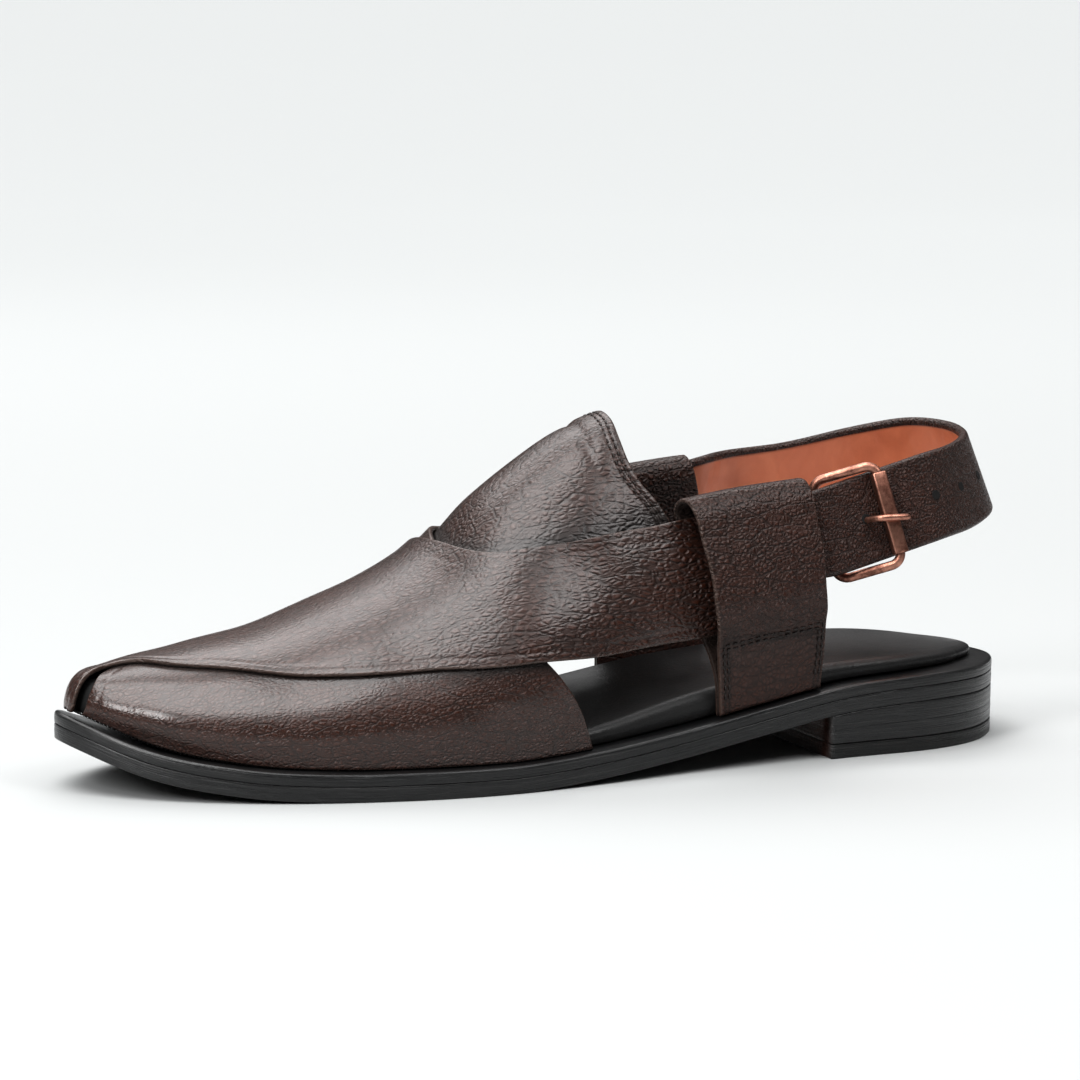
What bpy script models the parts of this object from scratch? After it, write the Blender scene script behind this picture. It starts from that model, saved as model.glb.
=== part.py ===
"""A left Peshawari chappal: crossed vamp bands, instep tongue, two side loops and a buckled heel strap
on a low stacked-leather sole.

Metres, +Z up, the shoe standing on the plane z = 0. The toe points along -X, the outer (lateral) side of
the foot faces -Y, and the origin is under the middle of the sole.
"""
import math

import bpy
import bmesh
import numpy as np
from mathutils import Vector

MM = 0.001

# Main sizes of the shoe
SOLE_LENGTH = 296 * MM
BALL_WIDTH = 100 * MM
HEEL_WIDTH = 68 * MM
TOE_SPRING = 13.7 * MM
HEEL_HEIGHT = 15 * MM
INSTEP_HEIGHT = 85 * MM

# Layers of the sole and the leathers of the upper
OUTSOLE_THICKNESS = 4.4 * MM
MIDSOLE_THICKNESS = 3.2 * MM
TOP_PIECE_THICKNESS = 4.2 * MM
EDGE_CHAMFER = 0.5 * MM
FOOTBED_THICKNESS = 8 * MM
LEATHER = 1.9 * MM
TONGUE_THICKNESS = 2 * MM
GAP = 0.3 * MM

# How far the pieces stand in from the edge of the sole
FEATHER_INSET = 6.2 * MM
FOOTBED_INSET = 6.4 * MM
FOOTBED_TOE_INSET = 1.2 * MM
ROUND_END = 22 * MM

# Where the sole changes, as shares of its length from the toe
HEEL_BREAST = 0.762

# Outline of the sole's tread, a row for each section. The fore part goes with the ball width and the
# rear part with the heel width; station is the share of the length from the toe.
FORE_OUTLINE = [
    # station, outer side, inner side
    (0.00, 0.000, 0.000),
    (0.02, 0.141, 0.130),
    (0.05, 0.231, 0.212),
    (0.10, 0.331, 0.294),
    (0.15, 0.402, 0.355),
    (0.20, 0.452, 0.400),
    (0.27, 0.499, 0.444),
    (0.33, 0.522, 0.462),
    (0.40, 0.522, 0.450),
    (0.50, 0.480, 0.393),
]
REAR_OUTLINE = [
    # station, outer side, inner side
    (0.60, 0.622, 0.500),
    (0.70, 0.570, 0.467),
    (0.80, 0.525, 0.482),
    (0.88, 0.490, 0.497),
    (0.94, 0.388, 0.426),
    (0.98, 0.222, 0.252),
    (1.00, 0.000, 0.000),
]
# Underside of the outsole: its height is toe * TOE_SPRING + heel * HEEL_HEIGHT
UNDERSIDE = [
    # station, toe, heel
    (0.00, 1.00, 0.00),
    (0.06, 0.46, 0.00),
    (0.14, 0.13, 0.00),
    (0.25, 0.00, 0.00),
    (0.40, 0.00, 0.00),
    (0.50, 0.00, 0.12),
    (0.60, 0.00, 0.34),
    (0.70, 0.00, 0.66),
    (0.78, 0.00, 0.90),
    (0.86, 0.00, 1.00),
    (1.00, 0.00, 1.00),
]
# Thickness of the footbed, as a share of FOOTBED_THICKNESS
FOOTBED = [
    # station, share
    (0.00, 0.30),
    (0.35, 0.40),
    (0.50, 0.62),
    (0.64, 0.96),
    (0.72, 0.80),
    (0.80, 0.62),
    (0.90, 0.54),
    (1.00, 0.38),
]
# The last under the upper: ridge height as a share of INSTEP_HEIGHT above the welt, how far the ridge lies
# to the inner side as a share of BALL_WIDTH, and how square the section is (2 is an ellipse)
LAST = [
    # station, ridge height, ridge side, squareness
    (0.000, 0.000, 0.000, 2.5),
    (0.010, 0.100, 0.002, 2.5),
    (0.031, 0.146, 0.006, 2.5),
    (0.063, 0.213, 0.012, 2.4),
    (0.105, 0.266, 0.018, 2.3),
    (0.147, 0.312, 0.023, 2.3),
    (0.197, 0.356, 0.028, 2.2),
    (0.260, 0.436, 0.034, 2.2),
    (0.317, 0.510, 0.038, 2.1),
    (0.345, 0.558, 0.040, 2.1),
    (0.374, 0.617, 0.040, 2.1),
    (0.401, 0.708, 0.040, 2.1),
    (0.433, 0.803, 0.040, 2.0),
    (0.479, 0.908, 0.040, 2.0),
    (0.530, 0.997, 0.040, 2.0),
    (0.560, 1.012, 0.040, 2.0),
    (0.606, 1.025, 0.040, 2.0),
    (0.659, 1.018, 0.040, 2.0),
    (0.764, 0.976, 0.040, 2.0),
    (1.000, 0.950, 0.040, 2.0),
]
SIDE_BULGE = 2.2 * MM


def through(rows, column, at):
    """A smooth curve through one column of a table at the given stations: cubic pieces whose slopes are
    the three-point averages of the neighbouring chords."""
    table = np.asarray(rows, float)
    x, y = table[:, 0], table[:, column]
    at = np.clip(np.asarray(at, float), x[0], x[-1])
    step = np.diff(x)
    chord = np.diff(y) / step
    slope = np.empty_like(y)
    slope[1:-1] = (step[1:] * chord[:-1] + step[:-1] * chord[1:]) / (step[1:] + step[:-1])
    slope[0], slope[-1] = chord[0], chord[-1]
    k = np.clip(np.searchsorted(x, at, side="right") - 1, 0, len(step) - 1)
    t = (at - x[k]) / step[k]
    rise = y[k] * (1 + 2 * t) * (1 - t) ** 2 + y[k + 1] * t * t * (3 - 2 * t)
    return rise + step[k] * (slope[k] * t * (1 - t) ** 2 - slope[k + 1] * t * t * (1 - t))


def ease(value):
    """A smooth step from 0 to 1."""
    t = np.clip(value, 0, 1)
    return t * t * (3 - 2 * t)


def wheel(station):
    """A station as the share of a half turn, which spreads the round toe and heel ends."""
    return np.arccos(1 - 2 * np.clip(station, 0, 1)) / math.pi


def unwheel(turn):
    return (1 - np.cos(math.pi * np.asarray(turn, float))) / 2


OUTLINE = [
    (wheel(station), outer * BALL_WIDTH, inner * BALL_WIDTH) for station, outer, inner in FORE_OUTLINE
] + [
    (wheel(station), outer * HEEL_WIDTH, inner * HEEL_WIDTH) for station, outer, inner in REAR_OUTLINE
]
# The bounding box is centred on the origin by this shift of every piece to the inner side
SIDE_SHIFT = (max(row[1] for row in OUTLINE) - max(row[2] for row in OUTLINE)) / 2


def outline(station, inset):
    """Place along X and the outer and inner half widths of the sole's outline moved in by an inset."""
    x = (np.asarray(station, float) - 0.5) * (SOLE_LENGTH - 2 * inset)
    turn = wheel(station)
    outer, inner = through(OUTLINE, 1, turn), through(OUTLINE, 2, turn)
    outer = outer * (1 - inset / np.maximum(outer, ROUND_END))
    inner = inner * (1 - inset / np.maximum(inner, ROUND_END))
    return x, outer, inner


def station_of(x, inset=0.0):
    return np.asarray(x, float) / (SOLE_LENGTH - 2 * inset) + 0.5


def underside(station):
    """Height of the outsole's underside, flat on the ground under the ball."""
    height = through(UNDERSIDE, 1, station) * TOE_SPRING + through(UNDERSIDE, 2, station) * HEEL_HEIGHT
    return np.maximum(height, 0.0)


def welt_top(station):
    return underside(station) + OUTSOLE_THICKNESS + GAP + MIDSOLE_THICKNESS


def add_object(name, bm, material):
    """Closes the mesh, turns its faces outwards and links it as one named object."""
    bmesh.ops.recalc_face_normals(bm, faces=bm.faces)
    mesh = bpy.data.meshes.new(name)
    bm.to_mesh(mesh)
    bm.free()
    mesh.shade_smooth()
    mesh.set_sharp_from_angle(angle=math.radians(40))
    thing = bpy.data.objects.new(name, mesh)
    bpy.context.scene.collection.objects.link(thing)
    thing.data.materials.append(material)
    return thing


def finish(name, colour, roughness, metallic=0.0):
    """A Principled material of one plain colour."""
    material = bpy.data.materials.new(name)
    material.use_nodes = True
    surface = material.node_tree.nodes["Principled BSDF"]
    surface.inputs["Base Color"].default_value = (*colour, 1.0)
    surface.inputs["Roughness"].default_value = roughness
    surface.inputs["Metallic"].default_value = metallic
    return material


def skin_rings(rings, closed_ends=True):
    """A tube skinned over rings of as many points each; a ring that has shrunk to a point or a line is
    merged, so the ends close."""
    bm = bmesh.new()
    rows = [[bm.verts.new(point) for point in ring] for ring in rings]
    for low, high in zip(rows, rows[1:]):
        for i in range(len(low)):
            j = (i + 1) % len(low)
            bm.faces.new((low[i], low[j], high[j], high[i]))
    if closed_ends:
        bm.faces.new(reversed(rows[0]))
        bm.faces.new(rows[-1])
    bmesh.ops.remove_doubles(bm, verts=bm.verts, dist=0.01 * MM)
    return bm


def sole_layer(name, material, stations, low, high, side, across, further=lambda station: 0.0):
    """One layer of the sole, skinned over cross sections. low and high give its faces' heights at a
    station, side is a table of (share of the height, inset) from bottom to top, across lists the places
    between the top edges, as shares from -1 to 1, with the drop there below the top face, and further
    adds to the inset at a station."""
    rings = []
    for station in stations:
        bottom, top = float(low(station)), float(high(station))
        outer_wall, inner_wall = [], []
        for share, inset in side:
            x, outer, inner = (float(v) for v in outline(station, inset + further(station)))
            z = bottom + share * (top - bottom)
            outer_wall.append((x, SIDE_SHIFT - outer, z))
            inner_wall.append((x, SIDE_SHIFT + inner, z))
        start, end = Vector(outer_wall[-1]), Vector(inner_wall[-1])
        middle = [
            start.lerp(end, (1 + place) / 2) - Vector((0, 0, drop)) * min(1.0, (end - start).length / ROUND_END)
            for place, drop in across
        ]
        rings.append(outer_wall + middle + inner_wall[::-1])
    return add_object(name, skin_rings(rings, closed_ends=False), material)


def close_ends(thing):
    """Fills any open end of a layer that stops short of the toe or heel, such as the heel's breast."""
    bm = bmesh.new()
    bm.from_mesh(thing.data)
    bmesh.ops.holes_fill(bm, edges=[e for e in bm.edges if e.is_boundary])
    bmesh.ops.recalc_face_normals(bm, faces=bm.faces)
    bm.to_mesh(thing.data)
    bm.free()
    return thing


def make_sole(black, rubber):
    """Outsole, midsole (welt), padded footbed, heel stack and top piece."""
    full = unwheel(np.linspace(0, 1, 41))
    wall = [(0.0, EDGE_CHAMFER), (0.12, 0.0), (0.88, 0.0), (1.0, EDGE_CHAMFER)]
    flat = [(-0.5, 0.0), (0.0, 0.0), (0.5, 0.0)]
    sole_layer("outsole", black, full, underside, lambda s: underside(s) + OUTSOLE_THICKNESS, wall, flat)
    sole_layer("midsole", black, full, lambda s: welt_top(s) - MIDSOLE_THICKNESS, welt_top, wall, flat)

    dish = 0.9 * MM
    bed_wall = [
        (0.0, FOOTBED_INSET + 0.6 * MM),
        (0.45, FOOTBED_INSET),
        (0.78, FOOTBED_INSET + 0.5 * MM),
        (1.0, FOOTBED_INSET + 2.4 * MM),
    ]
    bed_across = [(-0.6, 0.6 * dish), (0.0, dish), (0.6, 0.6 * dish)]
    sole_layer(
        "insole",
        black,
        full,
        lambda s: welt_top(s) + GAP,
        lambda s: welt_top(s) + GAP + FOOTBED_THICKNESS * through(FOOTBED, 1, s),
        bed_wall,
        bed_across,
        lambda s: FOOTBED_TOE_INSET * (1 - ease((s - 0.5) / 0.15)),
    )

    rear = unwheel(np.linspace(float(wheel(HEEL_BREAST)), 1, 16))
    stack_low = TOP_PIECE_THICKNESS + GAP
    close_ends(sole_layer("heel_stack", black, rear, lambda s: stack_low, lambda s: underside(s) - GAP, wall, flat))
    close_ends(sole_layer("heel_top_piece", rubber, rear, lambda s: 0.0, lambda s: TOP_PIECE_THICKNESS, wall, flat))


def last_row(station, column):
    """One column of the last's table at a station, interpolated by the turn so that the toe is round."""
    rows = [(wheel(row[0]), *row[1:]) for row in LAST]
    return through(rows, column, wheel(station))


def side_width(station, around):
    """Distance across from the ridge to the feather line on the side that around lies on."""
    _, outer, inner = outline(station, FEATHER_INSET)
    ridge = last_row(station, 2) * BALL_WIDTH
    return np.where(np.asarray(around) < 0, outer + ridge, inner - ridge), ridge


def last_point(station, around):
    """A point of the last. around runs from -1 at the outer feather line over the ridge at 0 to 1 at the
    inner feather line, as a share of a quarter turn of a superellipse, with a slight bulge low down."""
    station, around = np.broadcast_arrays(np.asarray(station, float), np.asarray(around, float))
    width, ridge = side_width(station, around)
    x, _, _ = outline(station, FEATHER_INSET)
    square = last_row(station, 3)
    height = last_row(station, 1) * INSTEP_HEIGHT
    angle = np.abs(around) * math.pi / 2
    reach = (np.sin(angle) ** square + np.maximum(np.cos(angle), 0) ** square) ** (-1 / square)
    low_down = np.clip((np.abs(around) - 0.5) / 0.5, 0, 1)
    bulge = SIDE_BULGE * np.sin(math.pi * low_down) ** 2 * np.clip(width / ROUND_END, 0, 1)
    y = ridge + np.sign(around) * (width * reach * np.sin(angle) + bulge)
    z = welt_top(station) + GAP + height * reach * np.cos(angle)
    return np.stack([x, y + SIDE_SHIFT, z], -1)


def last_normal(station, around):
    """The outward normal of the last, from small steps along it and round it."""
    turn = np.clip(wheel(station), 0.012, 0.988)
    around = np.clip(np.asarray(around, float), -0.999, 0.999)
    step = 1e-3
    along = last_point(unwheel(turn + step), around) - last_point(unwheel(turn - step), around)
    there = unwheel(turn)
    over = last_point(there, around + step) - last_point(there, around - step)
    normal = np.cross(along, over)
    return normal / np.linalg.norm(normal, axis=-1, keepdims=True)


def off_last(station, around, offset):
    return last_point(station, around) + last_normal(station, around) * np.asarray(offset, float)[..., None]


def to_chart(station, around):
    """Flat chart of the last: place along X, and the way round measured out from the ridge. The chart is
    regular over the toe, where lines of equal station run together."""
    width, ridge = side_width(station, around)
    x, _, _ = outline(station, FEATHER_INSET)
    return np.stack([x, ridge + np.asarray(around, float) * width], -1)


def from_chart(point):
    station = np.clip(station_of(point[..., 0], FEATHER_INSET), 0, 1)
    _, outer, inner = outline(station, FEATHER_INSET)
    ridge = last_row(station, 2) * BALL_WIDTH
    out = point[..., 1] - ridge
    width = np.where(out < 0, outer + ridge, inner - ridge)
    return station, np.clip(out / np.maximum(width, 1e-6), -1, 1)


def along(points, count, ends=(0.0, 1.0)):
    """Smooth curve through points, cut into equal steps of its length, with the unit tangent at each."""
    points = np.asarray(points, float)
    reach = np.concatenate([[0], np.cumsum(np.linalg.norm(np.diff(points, axis=0), axis=1))])
    table = np.column_stack([reach / reach[-1], points])
    share = np.linspace(ends[0], ends[1], count)
    columns = range(1, table.shape[1])
    line = np.stack([through(table, c, share) for c in columns], -1)
    ahead = np.stack([through(table, c, share + 1e-3) for c in columns], -1)
    behind = np.stack([through(table, c, share - 1e-3) for c in columns], -1)
    tangent = ahead - behind
    return line, tangent / np.linalg.norm(tangent, axis=-1, keepdims=True)


def edge_line(rows, count):
    """An edge of a leather as chart points: rows are (station, around)."""
    table = np.asarray(rows, float)
    return along(to_chart(table[:, 0], table[:, 1]), count)[0]


def feather_line(turn_from, turn_to, count):
    """The feather line as chart points. A negative turn lies on the outer side, so a line whose turn
    changes sign goes round the toe."""
    turn = np.linspace(turn_from, turn_to, count)
    return to_chart(unwheel(np.abs(turn)), np.where(turn < 0, -1.0, 1.0))


def patch(start, front, rear):
    """A patch over the chart, ruled between the front edge and the rear edge. Its first row is bent to
    the start line, and the bend dies away over the next rows. Returns stations and arounds."""
    s = np.linspace(0, 1, len(front))[:, None, None]
    t = np.linspace(0, 1, len(start))[None, :, None]
    ruled = (1 - t) * front[:, None] + t * rear[:, None]
    return from_chart(ruled + (1 - s) ** 3 * (start[None] - ruled[:1]))


def wall_mesh(inside, outside):
    """A closed wall between two grids of points."""
    rows, columns = inside.shape[:2]
    bm = bmesh.new()
    low = [[bm.verts.new(p) for p in row] for row in inside]
    high = [[bm.verts.new(p) for p in row] for row in outside]
    for i in range(rows - 1):
        for j in range(columns - 1):
            bm.faces.new((low[i][j], low[i + 1][j], low[i + 1][j + 1], low[i][j + 1]))
            bm.faces.new((high[i][j], high[i][j + 1], high[i + 1][j + 1], high[i + 1][j]))
    rim = [(i, 0) for i in range(rows)] + [(rows - 1, j) for j in range(1, columns)]
    rim += [(i, columns - 1) for i in range(rows - 2, -1, -1)] + [(0, j) for j in range(columns - 2, 0, -1)]
    for a, b in zip(rim, rim[1:] + rim[:1]):
        bm.faces.new((low[a[0]][a[1]], high[a[0]][a[1]], high[b[0]][b[1]], low[b[0]][b[1]]))
    return bm


# Edges of the two vamp bands from the sole to the side loop. The outer band starts on the outer side and
# lies underneath; the inner band starts on the inner side, wraps the toe and lies on top.
OUTER_BAND_FRONT = [
    # station, around
    (0.004, -1.00),
    (0.008, -0.77),
    (0.017, -0.20),
    (0.030, 0.00),
    (0.060, 0.20),
    (0.120, 0.40),
    (0.220, 0.58),
    (0.330, 0.66),
    (0.430, 0.75),
    (0.530, 0.80),
    (0.630, 0.82),
    (0.680, 0.82),
]
OUTER_BAND_REAR = [
    # station, around
    (0.489, -1.00),
    (0.476, -0.91),
    (0.458, -0.83),
    (0.425, -0.70),
    (0.393, -0.50),
    (0.379, -0.25),
    (0.382, -0.06),
    (0.393, 0.12),
    (0.415, 0.32),
    (0.450, 0.44),
    (0.517, 0.515),
    (0.614, 0.540),
    (0.690, 0.55),
]
INNER_BAND_FRONT = [
    # station, around
    (0.001, -1.00),
    (0.004, -0.50),
    (0.008, -0.36),
    (0.014, -0.20),
    (0.026, 0.04),
    (0.048, 0.01),
    (0.078, -0.22),
    (0.125, -0.36),
    (0.180, -0.472),
    (0.253, -0.575),
    (0.329, -0.635),
    (0.406, -0.722),
    (0.495, -0.790),
    (0.591, -0.814),
    (0.710, -0.825),
]
INNER_BAND_REAR = [
    # station, around
    (0.489, 1.00),
    (0.476, 0.91),
    (0.458, 0.83),
    (0.425, 0.70),
    (0.398, 0.50),
    (0.382, 0.25),
    (0.380, 0.05),
    (0.384, -0.10),
    (0.393, -0.24),
    (0.410, -0.345),
    (0.440, -0.415),
    (0.474, -0.468),
    (0.515, -0.512),
    (0.561, -0.533),
    (0.614, -0.540),
    (0.710, -0.55),
]
# The feather line of each band, as shares of a half turn round the sole from the toe, outer side negative
OUTER_FEATHER = (-0.040, -0.493)
INNER_FEATHER = (-0.020, 0.493)
CROSSING_BLEND = 26 * MM
# Where the bands cross, the upper one is bedded into the lower one's middle and stands proud by a step
CROSSING_STEP = 1.5 * MM


def band_grid(front_rows, rear_rows, feather, along, across):
    """Stations and arounds of a band's grid."""
    front, rear = edge_line(front_rows, along), edge_line(rear_rows, along)
    start = feather_line(*feather, across)
    front[0], rear[0] = start[0], start[-1]
    return patch(start, front, rear)


def over_outer_band(station, around):
    """1 where the outer band lies below, 0 well outside it, with a smooth step at its edges."""
    chart = to_chart(station, around)
    front, rear = edge_line(OUTER_BAND_FRONT, 60), edge_line(OUTER_BAND_REAR, 60)
    rear_x = np.interp(chart[..., 1], rear[:, 1], rear[:, 0])
    front_x = np.interp(chart[..., 1], front[:, 1], front[:, 0])
    return ease((rear_x - chart[..., 0]) / CROSSING_BLEND + 1) * ease((chart[..., 0] - front_x) / CROSSING_BLEND + 1)


def make_upper(leather):
    """The two vamp bands, crossed over the forefoot and joined where they cross."""
    station, around = band_grid(OUTER_BAND_FRONT, OUTER_BAND_REAR, OUTER_FEATHER, 24, 18)
    nothing = np.zeros_like(station)
    lower = add_object(
        "upper",
        wall_mesh(off_last(station, around, nothing + GAP), off_last(station, around, nothing + GAP + LEATHER)),
        leather,
    )
    station, around = band_grid(INNER_BAND_FRONT, INNER_BAND_REAR, INNER_FEATHER, 26, 20)
    over = over_outer_band(station, around)
    inside, outside = GAP + LEATHER / 2 * over, GAP + LEATHER + CROSSING_STEP * over
    upper = add_object(
        "inner_band",
        wall_mesh(off_last(station, around, inside), off_last(station, around, outside)),
        leather,
    )
    join(lower, upper, "UNION")
    return lower


def join(thing, other, operation):
    """Applies a Boolean of the other object to the first and removes the other."""
    modifier = thing.modifiers.new("boolean", "BOOLEAN")
    modifier.operation = operation
    modifier.object = other
    bpy.context.view_layer.update()
    made = bpy.data.meshes.new_from_object(thing.evaluated_get(bpy.context.evaluated_depsgraph_get()))
    thing.modifiers.clear()
    made.name = thing.name
    thing.data = made
    bpy.data.objects.remove(other)


# Rear edge of the tongue, from its peak down each side
TONGUE_REAR = [
    # share of the way across, station
    (0.00, 0.572),
    (0.20, 0.570),
    (0.45, 0.568),
    (0.65, 0.574),
    (0.80, 0.585),
    (0.90, 0.594),
    (1.00, 0.602),
]
TONGUE_FRONT = 0.260
TONGUE_HALF = [
    # share of the way back, around
    (0.00, 0.30),
    (0.35, 0.40),
    (0.70, 0.50),
    (1.00, 0.53),
]
TONGUE_FLARE = 0.8 * MM
# The tongue is pressed in under the bands and stands up where it comes free of them
TONGUE_PRESS = 0.7 * MM
TONGUE_PUFF = 1.0 * MM


def make_tongue(leather):
    """The instep tongue under both bands, its rear edge flared at the peak."""
    across = np.linspace(-1, 1, 19)[None, :]
    back = np.linspace(0, 1, 18)[:, None] ** 0.8
    station = TONGUE_FRONT + back * (through(TONGUE_REAR, 1, np.abs(across)) - TONGUE_FRONT)
    around = across * through(TONGUE_HALF, 1, back)
    middle = ease((0.78 - np.abs(across)) / 0.5)
    flare = TONGUE_FLARE * ease((back - 0.86) / 0.14) * middle
    puff = TONGUE_PUFF * ease((back - 0.42) / 0.14) * middle
    press = TONGUE_PRESS * (1 - ease((back - 0.36) / 0.12) * middle)
    face = flare + puff - press
    inside, outside = off_last(station, around, face - TONGUE_THICKNESS), off_last(station, around, face)
    return add_object("tongue", wall_mesh(inside, outside), leather)


# Side loops: a strip folded over the end of a vamp band and the heel strap, its two legs stitched
# together below. The edges are stations on the last by the way round.
LOOP_LEATHER = 1.6 * MM
BAND_ROOM = GAP + LEATHER + GAP
OUTER_LOOP_DEPTH = 9.5 * MM
INNER_LOOP_DEPTH = 7.0 * MM
OUTER_LOOP_EDGES = [
    # around, front station, rear station
    (0.38, 0.598, 0.736),
    (0.50, 0.606, 0.746),
    (0.56, 0.611, 0.749),
    (0.63, 0.614, 0.750),
    (0.70, 0.618, 0.752),
    (0.76, 0.619, 0.751),
    (0.82, 0.625, 0.756),
    (0.88, 0.634, 0.763),
    (1.00, 0.641, 0.762),
]
INNER_LOOP_EDGES = [
    # around, front station, rear station
    (0.38, 0.606, 0.690),
    (0.50, 0.608, 0.702),
    (0.63, 0.608, 0.716),
    (0.80, 0.607, 0.728),
    (1.00, 0.606, 0.733),
]
# The inner loop reaches higher: its rows keep their shape but stretch this much further from the sole
INNER_LOOP_STRETCH = 1.08
LOOP_SKIN = [
    # around, leather, band room, spare depth
    (1.000, 0.00, 0.0, 0.00),
    (0.930, 0.00, 0.0, 0.00),
    (0.885, -0.30, 0.0, 0.00),
    (0.845, -1.15, 0.0, 0.00),
    (0.760, -1.15, 0.0, 0.00),
    (0.660, -1.15, 0.0, 0.00),
    (0.580, -1.15, 0.0, 0.00),
    (0.525, -1.05, 0.0, 0.00),
    (0.500, -0.30, 0.2, 0.00),
    (0.490, 0.00, 0.9, 0.20),
    (0.492, 0.20, 1.0, 0.55),
    (0.510, 0.70, 1.0, 0.86),
    (0.545, 1.00, 1.0, 0.98),
    (0.620, 1.00, 1.0, 1.00),
    (0.710, 1.00, 1.0, 1.00),
    (0.775, 1.00, 1.0, 0.96),
    (0.815, 1.00, 1.0, 0.76),
    (0.848, 1.00, 1.0, 0.42),
    (0.880, 1.00, 1.0, 0.13),
    (0.930, 0.80, 1.0, 0.00),
    (1.000, 0.60, 1.0, 0.00),
]
LOOP_EYE = [
    # around, leather, band room, spare depth
    (0.850, 0.00, 0.9, 0.00),
    (0.852, 0.00, 0.4, 0.00),
    (0.838, -0.15, 0.0, 0.00),
    (0.740, -0.15, 0.0, 0.00),
    (0.640, -0.15, 0.0, 0.00),
    (0.565, -0.15, 0.0, 0.00),
    (0.530, -0.10, 0.1, 0.00),
    (0.511, 0.00, 0.8, 0.05),
    (0.508, 0.00, 1.0, 0.50),
    (0.518, 0.00, 1.0, 0.86),
    (0.545, 0.00, 1.0, 0.99),
    (0.620, 0.00, 1.0, 1.00),
    (0.710, 0.00, 1.0, 1.00),
    (0.765, 0.00, 1.0, 0.97),
    (0.800, 0.00, 1.0, 0.78),
    (0.826, 0.00, 1.0, 0.44),
    (0.843, 0.00, 1.0, 0.15),
]


def loop_ring(rows, side, edges, depth, stretch, share):
    """One ring of a side loop, share being the way from its front edge to its rear edge."""
    table = np.array(rows, float)
    table[:, 0] = 1 - (1 - table[:, 0]) * stretch
    front, rear = through(edges, 1, table[:, 0]), through(edges, 2, table[:, 0])
    offset = table[:, 1] * LOOP_LEATHER + table[:, 2] * BAND_ROOM + table[:, 3] * (depth - BAND_ROOM)
    return off_last(front + share * (rear - front), side * table[:, 0], offset)


def make_loop(name, side, edges, depth, stretch, leather):
    """A side loop, with its eye cut through from front to rear."""
    skin = [loop_ring(LOOP_SKIN, side, edges, depth, stretch, share) for share in np.linspace(0, 1, 8)]
    eye = [loop_ring(LOOP_EYE, side, edges, depth, stretch, share) for share in np.linspace(-0.2, 1.2, 10)]
    loop = add_object(name, skin_rings(skin), leather)
    cutter = add_object(name + "_eye", skin_rings(eye), leather)
    join(loop, cutter, "DIFFERENCE")
    return loop


# The heel strap, from inside the inner loop round the heel to its tail inside the outer loop. Where it
# lies in a loop its line follows the last, at the given depth off it.
STRAP_WIDTH = 26 * MM
STRAP_THICKNESS = 2.8 * MM
STRAP_END_WIDTH = 21 * MM
STRAP_IN_INNER_LOOP = [
    # station, around, depth off the last as a share of BAND_ROOM
    (0.640, 0.635, 1.76),
    (0.690, 0.614, 1.80),
    (0.720, 0.594, 2.00),
]
STRAP_IN_OUTER_LOOP = [
    # station, around, depth off the last as a share of BAND_ROOM
    (0.745, -0.656, 2.50),
    (0.665, -0.675, 2.20),
]
STRAP_ROUND_HEEL = [
    # length, side, height
    (0.237, 0.480, 0.836),
    (0.321, 0.530, 0.858),
    (0.399, 0.470, 0.912),
    (0.450, 0.295, 0.958),
    (0.468, 0.030, 0.965),
    (0.453, -0.250, 0.950),
    (0.408, -0.445, 0.922),
    (0.366, -0.532, 0.903),
]
STRAP_LEAN = [
    # share of the strap's length, degrees its top leans in
    (0.00, 16.0),
    (0.06, 17.0),
    (0.12, 14.0),
    (0.25, 13.0),
    (0.42, 22.0),
    (0.55, 22.0),
    (0.68, 15.5),
    (0.75, 16.5),
    (0.80, 16.5),
    (0.90, 16.5),
    (1.00, 16.5),
]
CHAPE_PLY = 1.25 * MM
CHAPE_THICKNESS = 2 * CHAPE_PLY


def strap_line():
    """Points of the heel strap's middle line."""
    rows = [off_last(s, v, depth * BAND_ROOM) for s, v, depth in STRAP_IN_INNER_LOOP]
    size = (SOLE_LENGTH, HEEL_WIDTH, INSTEP_HEIGHT)
    for row in STRAP_ROUND_HEEL:
        rows.append(np.array([share * full for share, full in zip(row, size)]) + (0, SIDE_SHIFT, 0))
    tail = [off_last(s, v, depth * BAND_ROOM) for s, v, depth in STRAP_IN_OUTER_LOOP]
    # the strap runs straight through the buckle into the loop
    straight = [rows[-1] + (tail[0] - rows[-1]) * share for share in (0.25, 0.5, 0.75)]
    return rows + straight + tail


def strap_frames(ends, count):
    """Places along the strap between two shares of its length: the point, the direction along it, the
    outward direction and the direction up across its width."""
    line, tangent = along(strap_line(), count, ends)
    lean = np.radians(through(STRAP_LEAN, 1, np.linspace(*ends, count)))[:, None]
    level = np.cross((0, 0, 1), tangent)
    level /= np.linalg.norm(level, axis=1, keepdims=True)
    upright = np.cross(tangent, level)
    outward = level * np.cos(lean) + upright * np.sin(lean)
    width = upright * np.cos(lean) - level * np.sin(lean)
    return line, tangent, outward, width


def slab_section(width, thickness, chamfer):
    """Corners of a chamfered rectangle as (out, up) pairs, going round once."""
    t, w = thickness / 2, width / 2
    return [
        (-t, -w + chamfer), (-t, 0.0), (-t, w - chamfer), (-t + chamfer, w),
        (t - chamfer, w), (t, w - chamfer), (t, 0.0), (t, -w + chamfer),
        (t - chamfer, -w), (-t + chamfer, -w),
    ]


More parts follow.
